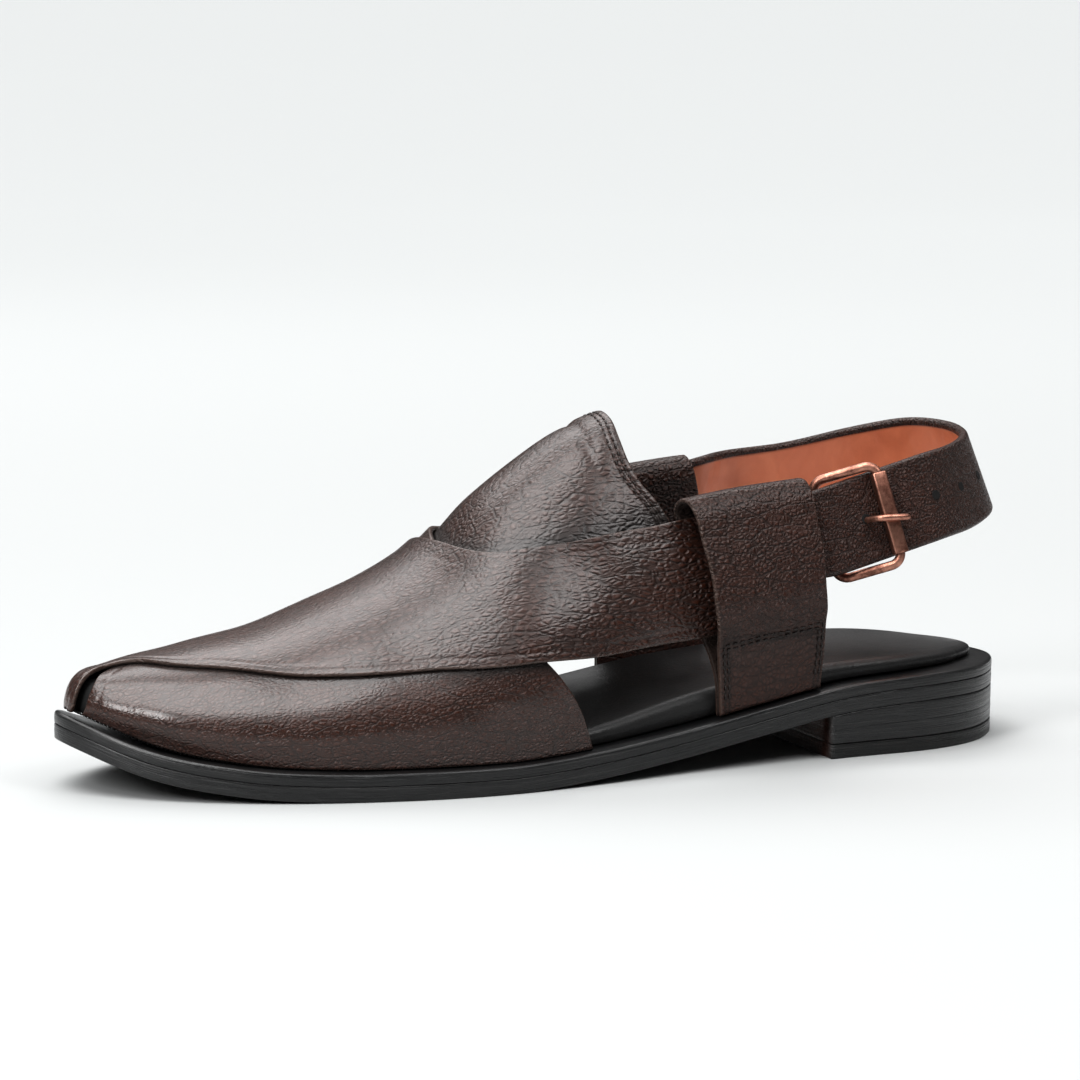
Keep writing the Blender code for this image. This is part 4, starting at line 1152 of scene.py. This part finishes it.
LOOP_SEAM_DITCH = (0.5 * MM, 0.22 * MM)
LOOP_SEAM_DARK_WIDTH = 0.55 * MM
SEWN_SINK = 0.20 * MM
LOOP_SEAMS = [
    # distance from the front edge, from the rear edge, height of the row across
    (1.9 * MM, 1.3 * MM, 39.0 * MM),
    (3.3 * MM, 2.7 * MM, 37.5 * MM),
]


def loop_faces(side, edges, depth, stretch):
    """A loop's outer and inner face, and the mark along its seams. The middle of the strip is a curve
    through the table, laid between the front and the rear edge; the faces lie half the leather's thickness
    to each side of it. The first OUTER_LEG rows are the outer leg, which sinks a little at its seams."""
    table = np.array(LOOP_MIDDLE, float)
    table[:, 0] = 1 - (1 - table[:, 0]) * stretch
    offset = table[:, 1] * LOOP_LEATHER + table[:, 2] * BAND_ROOM + table[:, 3] * (depth - BAND_ROOM)
    middle = (through(edges, 1, table[:, 0]) + through(edges, 2, table[:, 0])) / 2
    places = off_last(middle, side * table[:, 0], offset)
    table = by_length(places, np.column_stack([table[:, 0], offset]))
    share = np.linspace(0, 1, 260)
    way, out = (np.interp(share, TURNS, smoothed(table, column, 0.008))[:, None] for column in (1, 2))
    front, rear = through(edges, 1, way), through(edges, 2, way)
    station = front + unwheel(np.linspace(0, 1, 90))[None, :] * (rear - front)
    middle = off_last(station, side * way, out)
    normal = grid_normals(middle)
    if np.sum(normal[:80] * last_normal(station, side * way)[:80]) < 0:
        normal = -normal
    high = middle + normal * LOOP_LEATHER / 2
    _, _, from_front, from_rear = edge_distances(high)
    outer_leg = np.arange(len(high))[:, None] < OUTER_LEG
    relief, seam = 0.0, 0.0
    for front, rear, top in LOOP_SEAMS:
        distance = np.minimum.reduce([from_front - front, from_rear - rear, top - high[..., 2]])
        relief = relief + ditch(distance, 0.0, *LOOP_SEAM_DITCH) * outer_leg
        # The seam mark darkens the leather along each stitch row
        seam = seam - ditch(distance, 0.0, LOOP_SEAM_DARK_WIDTH, 0.75) * outer_leg
    low_down = np.minimum.reduce([from_front, from_rear, LOOP_SEAMS[0][2] - high[..., 2]])
    relief = relief - SEWN_SINK * ease(low_down / (5 * MM)) * outer_leg
    return middle - normal * LOOP_LEATHER / 2, high + normal * relief[..., None], np.minimum(seam, 1.0)


def loop_seam(low, high, front, rear, top):
    """One row of stitches on a loop's outer leg: up the front edge, across, and down the rear edge."""
    normal = grid_normals(high) * facing(low, high)
    _, _, from_front, from_rear = edge_distances(high)
    row = int(np.argmax(high[:OUTER_LEG, high.shape[1] // 2, 2] > top))
    inside = (from_front[row] > front) & (from_rear[row] > rear)
    up, up_normal = line_at(low, high, 2, front)
    down, down_normal = line_at(low, high, 3, rear)
    leg = slice(8, row)
    points = np.concatenate([up[leg], high[row, inside], down[leg][::-1]])
    return points, np.concatenate([up_normal[leg], normal[row, inside], down_normal[leg][::-1]])


LOOP_GRAIN = leather("loop_brown", 1.4 * MM, 1.1, 0.62 * MM, 0.38, 0.30, ("Z", 0.034, 0.052, 0.22))
loops = {
    "lateral": loop_faces(-1, OUTER_LOOP_EDGES, OUTER_LOOP_DEPTH, 1.0),
    "medial": loop_faces(1, INNER_LOOP_EDGES, INNER_LOOP_DEPTH, INNER_LOOP_STRETCH),
}
for side, (low, high, seam) in loops.items():
    leather_sheet("loop_" + side, low, high, LOOP_GRAIN, ["side_strap_" + side], seam=seam)
    seams = [loop_seam(low, high, *seam) for seam in LOOP_SEAMS]
    stitches("stitches_" + side, seams, LOOP_THREAD, STITCH, STITCH_PITCH, THREAD)

# Heel strap
# A long strap cut from the same leather, lined with thin tan calf. Its outer leather is turned over the top
# edge onto the lining. It starts inside the inner loop, goes round the heel and through the buckle, and its
# tail ends inside the outer loop. Spare holes let it out.
STRAP_WIDTH = 26 * MM
STRAP_THICKNESS = 2.8 * MM
STRAP_END_WIDTH = 21 * MM
STRAP_ROUNDING = 1.3 * MM
TURNED_TOP = 2.0 * MM
LINING_MARGIN = 0.7 * MM
LINING_STEP = 0.22 * MM
PUCKER = 0.05 * MM
TOP_WAVE = 0.35 * MM
STRAP_IN_INNER_LOOP = [
    # station, around, depth off the form as a share of the band room
    (0.640, 0.635, 1.76),
    (0.690, 0.614, 1.80),
    (0.720, 0.594, 2.00),
]
STRAP_IN_OUTER_LOOP = [
    # station, around, depth off the form as a share of the band room
    (0.745, -0.656, 2.50),
    (0.665, -0.675, 2.20),
]
STRAP_ROUND_HEEL = [
    # shares of the sole's length, the heel's width and the instep's height
    (0.237, 0.480, 0.836),
    (0.321, 0.530, 0.858),
    (0.399, 0.470, 0.912),
    (0.450, 0.295, 0.958),
    (0.468, 0.030, 0.965),
    (0.453, -0.250, 0.950),
    (0.408, -0.445, 0.922),
    (0.366, -0.532, 0.903),
]
STRAP_LEAN = [
    # share of the strap's length, degrees its top leans in
    (0.00, 16.0),
    (0.06, 17.0),
    (0.12, 14.0),
    (0.25, 13.0),
    (0.42, 22.0),
    (0.55, 22.0),
    (0.68, 15.5),
    (0.75, 16.5),
    (0.80, 16.5),
    (0.90, 16.5),
    (1.00, 16.5),
]


def strap_rows():
    """Points of the strap's middle line; it runs straight through the buckle into the outer loop."""
    rows = [off_last(s, v, depth * BAND_ROOM) for s, v, depth in STRAP_IN_INNER_LOOP]
    size = (SOLE_LENGTH, HEEL_WIDTH, INSTEP_HEIGHT)
    for row in STRAP_ROUND_HEEL:
        rows.append(np.array([share * full for share, full in zip(row, size)]) + (0, SIDE_SHIFT, 0))
    tail = [off_last(s, v, depth * BAND_ROOM) for s, v, depth in STRAP_IN_OUTER_LOOP]
    straight = [rows[-1] + (tail[0] - rows[-1]) * share for share in (0.25, 0.5, 0.75)]
    return np.array(rows + straight + tail)


STRAP_ROWS = strap_rows()
STRAP_RUN = run_along(STRAP_ROWS)[-1]
STRAP_LINE = np.stack([smoothed(by_length(STRAP_ROWS), column, 0.006) for column in (1, 2, 3)], -1)


def strap_frames(share):
    """Places at shares of the strap: the point, the direction along it, the outward direction and the
    direction up across its width."""
    tangent = unit(read_off(share, TURNS, np.gradient(STRAP_LINE, axis=0)))
    lean = np.radians(through(STRAP_LEAN, 1, share))[..., None]
    level = unit(np.cross((0, 0, 1), tangent))
    upright = np.cross(tangent, level)
    outward = level * np.cos(lean) + upright * np.sin(lean)
    return read_off(share, TURNS, STRAP_LINE), tangent, outward, upright * np.cos(lean) - level * np.sin(lean)


def strap_leathers():
    """The strap's skin, and how much of each point is lining. The section goes once round; the lining
    covers the inner side below the turned top edge, with a step where it meets it. The outer side has
    faint puckers, two sine waves in one, and the top edge one soft wave near the inner loop."""
    share = np.linspace(0, 1, 420)
    point, _, outward, width_way = strap_frames(share)
    narrow = np.maximum(ease((share - 0.87) / 0.08), ease((0.09 - share) / 0.08))
    half = (STRAP_WIDTH + (STRAP_END_WIDTH - STRAP_WIDTH) * narrow)[:, None] / 2
    up = np.concatenate([np.linspace(-1, 1, 60), np.linspace(1, -1, 60)])[None, :]
    side = np.repeat([1.0, -1.0], 60)[None, :]
    from_edge = (1 - np.abs(up)) * half
    rounding = np.clip(from_edge / STRAP_ROUNDING, 0, 1)
    lining = ease(((1 - up) * half - TURNED_TOP) / (0.3 * MM)) * (side < 0)
    lining = lining * ease(((1 + up) * half - LINING_MARGIN) / (0.3 * MM))
    run = (share * STRAP_RUN)[:, None]
    pucker = np.sin(run / (5.5 * MM)) * np.sin(run / (17 * MM) + 1)
    thick = side * STRAP_THICKNESS / 2 * np.sqrt(1 - (1 - rounding) ** 2) + lining * LINING_STEP
    thick = thick + (side > 0) * ease(from_edge / (4 * MM)) * PUCKER * pucker
    wave = TOP_WAVE * np.sin(run / (13 * MM)) * np.exp(-(((share[:, None] - 0.30) / 0.13) ** 2))
    height = up * half + wave * (up > 0.9)
    skin = point[:, None] + outward[:, None] * thick[..., None] + width_way[:, None] * height[..., None]
    return skin, lining


def strap_finish():
    """Brown leather with soft wrinkles across it, and tan calf lining: smooth, warm and unevenly dyed."""
    material = leather("strap_brown", 1.2 * MM, 0.8, 0.48 * MM, 0.38, 0.35)
    tree = material.node_tree
    brown, out = tree.nodes["Principled BSDF"], tree.nodes["Material Output"]
    calf = add_node(tree, "BsdfPrincipled", {"Roughness": 0.42, "Coat Weight": 0.15, "Coat Roughness": 0.35})
    place = on_object(tree)
    cloud = ramp(tree, noise(tree, place, 85.0, 4.0, Distortion=0.6), 0.1, 0.9, 0.0, 1.0)
    slack = noise(tree, stretched(tree, place, (1.0, 1.0, 0.35)), 130.0)
    height = total(tree, slack, product(tree, noise(tree, place, 1400.0, 3.0), 0.08))
    tint = shade(tree, cloud, (0.70, 0.20, 0.092), (0.90, 0.31, 0.16))
    link_up(tree, calf, Base_Color=tint, Normal=bump(tree, height, 0.9 * MM))
    feeds = {0: marked(tree, "lining"), 1: brown.outputs["BSDF"], 2: calf.outputs["BSDF"]}
    both = add_node(tree, "MixShader", feeds)
    tree.links.new(both.outputs["Shader"], out.inputs["Surface"])
    return material


skin, lining = strap_leathers()
points = skin.reshape(-1, 3)
add_piece(
    "heel_strap_leather",
    points,
    tidy_ends(points, grid_faces(*skin.shape[:2], 0, 1)),
    strap_finish(),
    ["heel_strap"],
    {"lining": lining},
)

# The holes are shallow dishes with a pressed rim, one of them round the prong; their near-black colour is
# painted shade standing in for the depth of a punched hole
BUCKLE_AT = 0.796
PRONG_FORWARD = 6.6 * MM
HOLES = (0.618, 0.676, 0.727, BUCKLE_AT + PRONG_FORWARD / STRAP_RUN)
HOLE_RADIUS = 1.2 * MM
HOLE_DISH = [
    # share of the radius, rise off the strap
    (1.25, -0.02 * MM),
    (1.08, 0.12 * MM),
    (0.92, 0.08 * MM),
    (0.00, 0.08 * MM),
]
HOLE_SIDES = 20
place, tangent, outward, width_way = strap_frames(np.array(HOLES))
angle = np.linspace(0, 2 * math.pi, HOLE_SIDES, endpoint=False)
ring = np.cos(angle)[:, None] * tangent[:, None] + np.sin(angle)[:, None] * width_way[:, None]
dishes, faces = [], []
for radius, rise in HOLE_DISH:
    above = outward * (STRAP_THICKNESS / 2 + rise)
    dishes.append((place + above)[:, None] + ring * HOLE_RADIUS * radius)
points = np.stack(dishes, 1).reshape(-1, 3)
for hole in range(len(HOLES)):
    first = hole * len(HOLE_DISH) * HOLE_SIDES
    faces += grid_faces(len(HOLE_DISH), HOLE_SIDES, 0, 1, first)[:, ::-1].tolist()
hole_shade_black, _, _ = blank_finish("painted_hole_shade", 0.85, Base_Color=(0.003, 0.002, 0.002, 1))
add_piece("strap_holes", points, tidy_ends(points, np.array(faces)), hole_shade_black)

# Buckle
# A copper-plated frame of bent round rod, brushed and darkened, with a flat roller on its rear bar. The prong
# turns on the front bar, comes up through the strap's hole and rests on the roller.
BUCKLE_TURN = 4.0
ROD = 2.8 * MM
BAR_ROD = 2.2 * MM
FRAME_LENGTH = 18 * MM
FRAME_WIDTH = 30 * MM
FRAME_CORNER = 3.4 * MM
ROLLER_LENGTH = 24.6 * MM
ROLLER_WIDTH = 4.6 * MM
ROLLER_DEPTH = 3.6 * MM
PRONG_ROD = 2.0 * MM
CHAPE_PLY = 1.25 * MM
CHAPE_WIDTH = 22 * MM
CHAPE_REACH = 14 * MM
PRONG_SLOT = 3.4 * MM
REAR_BAR_OUT = STRAP_THICKNESS / 2 + GAP + ROLLER_DEPTH / 2
FRONT_BAR_OUT = -(STRAP_THICKNESS / 2 + GAP + CHAPE_PLY + GAP + ROD / 2)
point, tangent, outward, width_way = (v[0] for v in strap_frames(np.array([BUCKLE_AT])))
turn = math.radians(BUCKLE_TURN)
BUCKLE_FORWARD = tangent * math.cos(turn) + width_way * math.sin(turn)
BUCKLE_UP = width_way * math.cos(turn) - tangent * math.sin(turn)
BUCKLE_OUT = outward
BUCKLE_ORIGIN = point + (tangent - BUCKLE_FORWARD) * FRAME_LENGTH / 2


def in_buckle(forward, out, up):
    """Places in the buckle's own axes at its rear bar: forward along the strap, outwards, and up."""
    forward, out, up = (np.asarray(v, float)[..., None] for v in np.broadcast_arrays(forward, out, up))
    return BUCKLE_ORIGIN + BUCKLE_FORWARD * forward + BUCKLE_OUT * out + BUCKLE_UP * up


def rod(points, radius, sides, closed):
    """A round rod along points: rings of the radius at each point, square to the line. The ring's first
    direction is the buckle's own outward one, straightened to the line."""
    before = np.roll(points, 1, 0) if closed else np.concatenate([points[:1], points[:-1]])
    after = np.roll(points, -1, 0) if closed else np.concatenate([points[1:], points[-1:]])
    along = unit(after - before)
    first = unit(np.cross(along, BUCKLE_UP * 0.2 + BUCKLE_OUT + BUCKLE_FORWARD * 0.1))
    second = np.cross(along, first)
    angle = np.linspace(0, 2 * math.pi, sides, endpoint=False)[None, :, None]
    ring = first[:, None] * np.cos(angle) + second[:, None] * np.sin(angle)
    skin = points[:, None] + ring * np.broadcast_to(radius, (len(points),))[:, None, None]
    faces = grid_faces(len(points), sides, int(closed), 1).tolist()
    if not closed:
        end = np.arange(sides)
        faces += [end[::-1].tolist(), (end + (len(points) - 1) * sides).tolist()]
    return skin.reshape(-1, 3), faces


def copper(name):
    """Antique copper plate: brushed, darker in the hollows, with brighter worn places."""
    material, tree, shader = blank_finish(name, 0.34, Metallic=1.0)
    place = on_object(tree)
    cloud = noise(tree, place, 420.0, 5.0, Roughness=0.7)
    mixed = total(tree, product(tree, cloud, 0.7), product(tree, noise(tree, place, 120.0), 0.5))
    worn = ramp(tree, mixed, 0.42, 0.78, 0.0, 1.0)
    brushed = noise(tree, stretched(tree, place, (1.0, 1.0, 0.12)), 5200.0)
    link_up(
        tree,
        shader,
        Base_Color=shade(tree, worn, (0.13, 0.055, 0.040), (0.56, 0.29, 0.215)),
        Roughness=ramp(tree, mixed, 0.4, 0.8, 0.52, 0.34),
        Normal=bump(tree, total(tree, brushed, cloud), 0.03 * MM),
    )
    return material


COPPER = copper("antique_copper")


def frame_path():
    """The frame's middle line: a rectangle with round corners, its rear bar out over the strap and its front
    bar behind it, and the rod thinner on the rear bar, under the roller."""
    half, radius, corners = FRAME_WIDTH / 2, FRAME_CORNER, []
    for ahead, above, start in ((0, -1, 180), (1, -1, 270), (1, 1, 0), (0, 1, 90)):
        angle = np.radians(start + np.linspace(0, 90, 13))
        middle = (radius + ahead * (FRAME_LENGTH - 2 * radius), above * (half - radius))
        corners.append(np.array(middle) + radius * np.stack([np.cos(angle), np.sin(angle)], -1))
    path = np.concatenate(corners + [corners[0][:1]])
    run = run_along(path)
    forward, up = read_off(np.linspace(0, run[-1], 180, endpoint=False), run, path).T
    out = REAR_BAR_OUT + forward / FRAME_LENGTH * (FRONT_BAR_OUT - REAR_BAR_OUT)
    thin = (np.abs(up) < half - radius) * (forward < 1e-6)
    return in_buckle(forward, out, up), (ROD + (BAR_ROD - ROD) * thin) / 2


points, faces = rod(*frame_path(), 20, True)
add_piece("buckle_frame_rod", points, faces, COPPER, ["buckle_frame"])


SLEEVE_SIDES = 40


def bar_sleeve(profile, ups):
    """A profile of (forward, out) pairs carried up through heights, each with its own shrink at the rim."""
    rings = []
    for up, inset in ups:
        ring = profile - unit(profile) * inset
        rings.append(in_buckle(ring[:, 0], REAR_BAR_OUT + ring[:, 1], up))
    return np.array(rings)


def flat_sleeve(width, depth, square):
    """A closed profile of (forward, out) pairs: a superellipse."""
    angle = np.linspace(0, 2 * math.pi, SLEEVE_SIDES, endpoint=False)
    ways = np.stack([np.cos(angle), np.sin(angle)], -1)
    return np.sign(ways) * np.abs(ways) ** (2 / square) * np.array([width, depth]) / 2


half, arris = ROLLER_LENGTH / 2, 0.4 * MM
rim = [(-half, arris), (-half + arris * 0.3, arris * 0.3), (-half + arris, 0.0), (-half * 0.3, 0.0)]
outer_ups = rim + [(-up, inset) for up, inset in rim[::-1]]
sleeve = bar_sleeve(flat_sleeve(ROLLER_WIDTH, ROLLER_DEPTH, 4.5), outer_ups)
bore = bar_sleeve(flat_sleeve(BAR_ROD + 2 * GAP, BAR_ROD + 2 * GAP, 2.0), [(half, 0.0), (-half, 0.0)])
skin = np.concatenate([sleeve, bore])
add_piece(
    "buckle_roller_sleeve",
    skin.reshape(-1, 3),
    grid_faces(len(skin), SLEEVE_SIDES, 1, 1)[:, ::-1].tolist(),
    COPPER,
    ["buckle_roller"],
)
PRONG_TOP = REAR_BAR_OUT + ROLLER_DEPTH / 2 + GAP + PRONG_ROD / 2
PRONG = [
    # forward, out, up
    (FRAME_LENGTH - 2.4 * MM, FRONT_BAR_OUT + 0.9 * MM, 0.0),
    (11.2 * MM, -3.4 * MM, 0.0),
    (8.2 * MM, -3.0 * MM, 0.0),
    (7.0 * MM, -1.2 * MM, 0.0),
    (6.4 * MM, 1.2 * MM, -0.3 * MM),
    (5.5 * MM, 3.4 * MM, -0.6 * MM),
    (3.9 * MM, PRONG_TOP - 0.7 * MM, -1.0 * MM),
    (2.0 * MM, PRONG_TOP, -1.4 * MM),
    (0.0, PRONG_TOP + 0.1 * MM, -1.8 * MM),
    (-3.0 * MM, PRONG_TOP, -2.4 * MM),
    (-5.2 * MM, PRONG_TOP - 0.8 * MM, -2.8 * MM),
]
EYE_WALL = 1.2 * MM
share = np.linspace(0, 1, 80)
path = np.stack([through(by_length(np.array(PRONG)), column, share) for column in (1, 2, 3)], -1)
tip = np.sqrt(np.clip(1 - ((share - 0.93) / 0.07).clip(0) ** 2, 0.02, 1))
points, faces = rod(in_buckle(*path.T), PRONG_ROD / 2 * tip, 16, False)
# The eye is the prong's end bent round the front bar: a ring of flattened rod
angle = np.linspace(0, 2 * math.pi, 48, endpoint=False)
radius = ROD / 2 + GAP + EYE_WALL / 2
eye = in_buckle(FRAME_LENGTH + radius * np.cos(angle), FRONT_BAR_OUT + radius * np.sin(angle), 0.0)
radial = (eye - in_buckle(FRAME_LENGTH, FRONT_BAR_OUT, 0.0)) / radius
turn = np.linspace(0, 2 * math.pi, 12, endpoint=False)[None, :, None]
wire = radial[:, None] * np.cos(turn) * EYE_WALL / 2 + BUCKLE_UP * np.sin(turn) * PRONG_ROD / 2
faces += grid_faces(len(angle), turn.size, 1, 1, len(points)).tolist()
points = np.concatenate([points, (eye[:, None] + wire).reshape(-1, 3)])
add_piece("buckle_prong_pin", points, faces, COPPER, ["buckle_prong"])

# Chape
# A short strip of the loop's leather, folded round the buckle's front bar with a slot for the prong. Its two
# plies are sewn together inside the outer loop.
wrap = ROD / 2 + GAP + CHAPE_PLY / 2
angle = np.radians(np.linspace(90, 300, 40))
settled = 1 - ease(np.linspace(0, 1.9, 30))
back = (np.linspace(FRAME_LENGTH + CHAPE_REACH, FRAME_LENGTH, 30)[:-1], np.full(29, FRONT_BAR_OUT + wrap))
bend = (FRAME_LENGTH + wrap * np.cos(angle), FRONT_BAR_OUT + wrap * np.sin(angle))
front = (
    FRAME_LENGTH + np.linspace(2.2 * MM, CHAPE_REACH, 30),
    FRONT_BAR_OUT + wrap - CHAPE_PLY * 1.02 - (wrap * 1.85 - CHAPE_PLY) * settled,
)
plies = np.concatenate([np.stack(part, -1) for part in (back, bend, front)])
reach = run_along(plies)
plies = np.stack([evened(np.interp(TURNS, reach / reach[-1], column), 0.01)[::12] for column in plies.T], -1)
for name, low_up, high_up in (
    ("chape_upper", PRONG_SLOT / 2, CHAPE_WIDTH / 2),
    ("chape_lower", -CHAPE_WIDTH / 2, -PRONG_SLOT / 2),
):
    up = low_up + unwheel(np.linspace(0, 1, 40)) * (high_up - low_up)
    middle = in_buckle(plies[:, None, 0], plies[:, None, 1], up[None, :])
    normal = grid_normals(middle)
    if np.sum(normal * (middle - in_buckle(FRAME_LENGTH, FRONT_BAR_OUT, 0.0))) < 0:
        normal = -normal
    low, high = middle - normal * CHAPE_PLY / 2, middle + normal * CHAPE_PLY / 2
    leather_sheet(name, low, high, LOOP_GRAIN, ["buckle_tab"])

# Studio
# A pale floor with painted light and shade, large soft lamps and the camera at the photograph's angle.
FLOOR_EDGE = 30.0
floor_mesh = bpy.data.meshes.new("floor")
corners = [(x * FLOOR_EDGE, y * FLOOR_EDGE, 0) for x, y in ((-1, -1), (1, -1), (1, 1), (-1, 1))]
floor_mesh.from_pydata(corners, [], [(0, 1, 2, 3)])
floor = bpy.data.objects.new("floor", floor_mesh)
bpy.context.scene.collection.objects.link(floor)
paper, tree, shader = blank_finish("pale_paper", 0.7)
# The paper is painted darker near the shoe and paler far off: painted shade that evens out the lamps'
# stronger light near the shoe, and painted light where the far floor meets the backdrop
far = add_node(tree, "VectorMath", {0: on_object(tree)}, operation="LENGTH").outputs["Value"]
pale = shade(tree, ramp(tree, far, 0.4, 2.6, 0.0, 1.0), (0.475, 0.485, 0.485), (0.67, 0.685, 0.685))
link_up(tree, shader, Base_Color=pale)
floor_mesh.materials.append(paper)

# The sky is brighter above and behind; the camera sees it as the floor's far colour
BACKDROP = (0.925, 0.94, 0.94)
world = bpy.data.worlds.new("studio")
bpy.context.scene.world = world
world.use_nodes = True
tree = world.node_tree
way = add_node(tree, "SeparateXYZ", {0: add_node(tree, "TexCoord").outputs["Generated"]}).outputs
above = ramp(tree, way["Z"], 0.0, 0.9, 0.05, 0.30)
lit = product(tree, above, ramp(tree, way["Y"], -0.7, 0.7, 0.35, 1.0))
seen = add_node(tree, "LightPath").outputs["Is Camera Ray"]
link_up(tree, tree.nodes["Background"], Color=shade(tree, seen, lit, BACKDROP))


def lamp(name, kind, away, power, place=(0, 0, 0), **settings):
    """A lamp at a place, whose light goes in the direction away."""
    light = bpy.data.lights.new(name, kind)
    light.energy = power
    for key, value in settings.items():
        setattr(light, key, value)
    holder = bpy.data.objects.new(name, light)
    holder.location = place
    holder.rotation_euler = Vector(away).to_track_quat("-Z", "Y").to_euler()
    bpy.context.scene.collection.objects.link(holder)


def softbox(name, place, target, width, height, power):
    """A rectangular lamp at a place, facing a target."""
    away = np.array(target) - np.array(place)
    lamp(name, "AREA", away, power, place, shape="RECTANGLE", size=width, size_y=height)


lamp("ceiling", "SUN", (0.0, -0.08, -1.0), 1.7, angle=math.radians(95))
lamp("overhead", "SUN", (0.266, 0.071, -0.961), 2.2, angle=math.radians(40))
softbox("back_lamp", (0.07, 1.07, 1.25), (-0.04, 0, 0.05), 1.4, 0.9, 10)
softbox("left_lamp", (-1.09, -0.60, 0.85), (-0.12, -0.01, 0.03), 0.34, 0.55, 11)
softbox("right_lamp", (0.57, -0.73, 1.18), (0.04, -0.03, 0.06), 0.5, 0.5, 5)

CAMERA_PLACE = (-0.4669, -1.0793, 0.2337)
CAMERA_RIGHT = (0.9193, -0.3934, 0.0133)
CAMERA_UP = (0.0441, 0.1365, 0.9897)
CAMERA_BACK = (-0.3912, -0.9092, 0.1428)
LENS = 135.57
view = bpy.data.cameras.new("camera")
view.lens, view.sensor_width, view.sensor_fit = LENS, 36.0, "HORIZONTAL"
view.clip_start, view.clip_end = 0.05, 200.0
camera = bpy.data.objects.new("camera", view)
turned = Matrix((CAMERA_RIGHT, CAMERA_UP, CAMERA_BACK)).transposed().to_4x4()
camera.matrix_world = Matrix.Translation(CAMERA_PLACE) @ turned
bpy.context.scene.collection.objects.link(camera)
bpy.context.scene.camera = camera
bpy.context.scene.view_settings.view_transform = "Standard"
bpy.context.scene.view_settings.gamma = 0.86
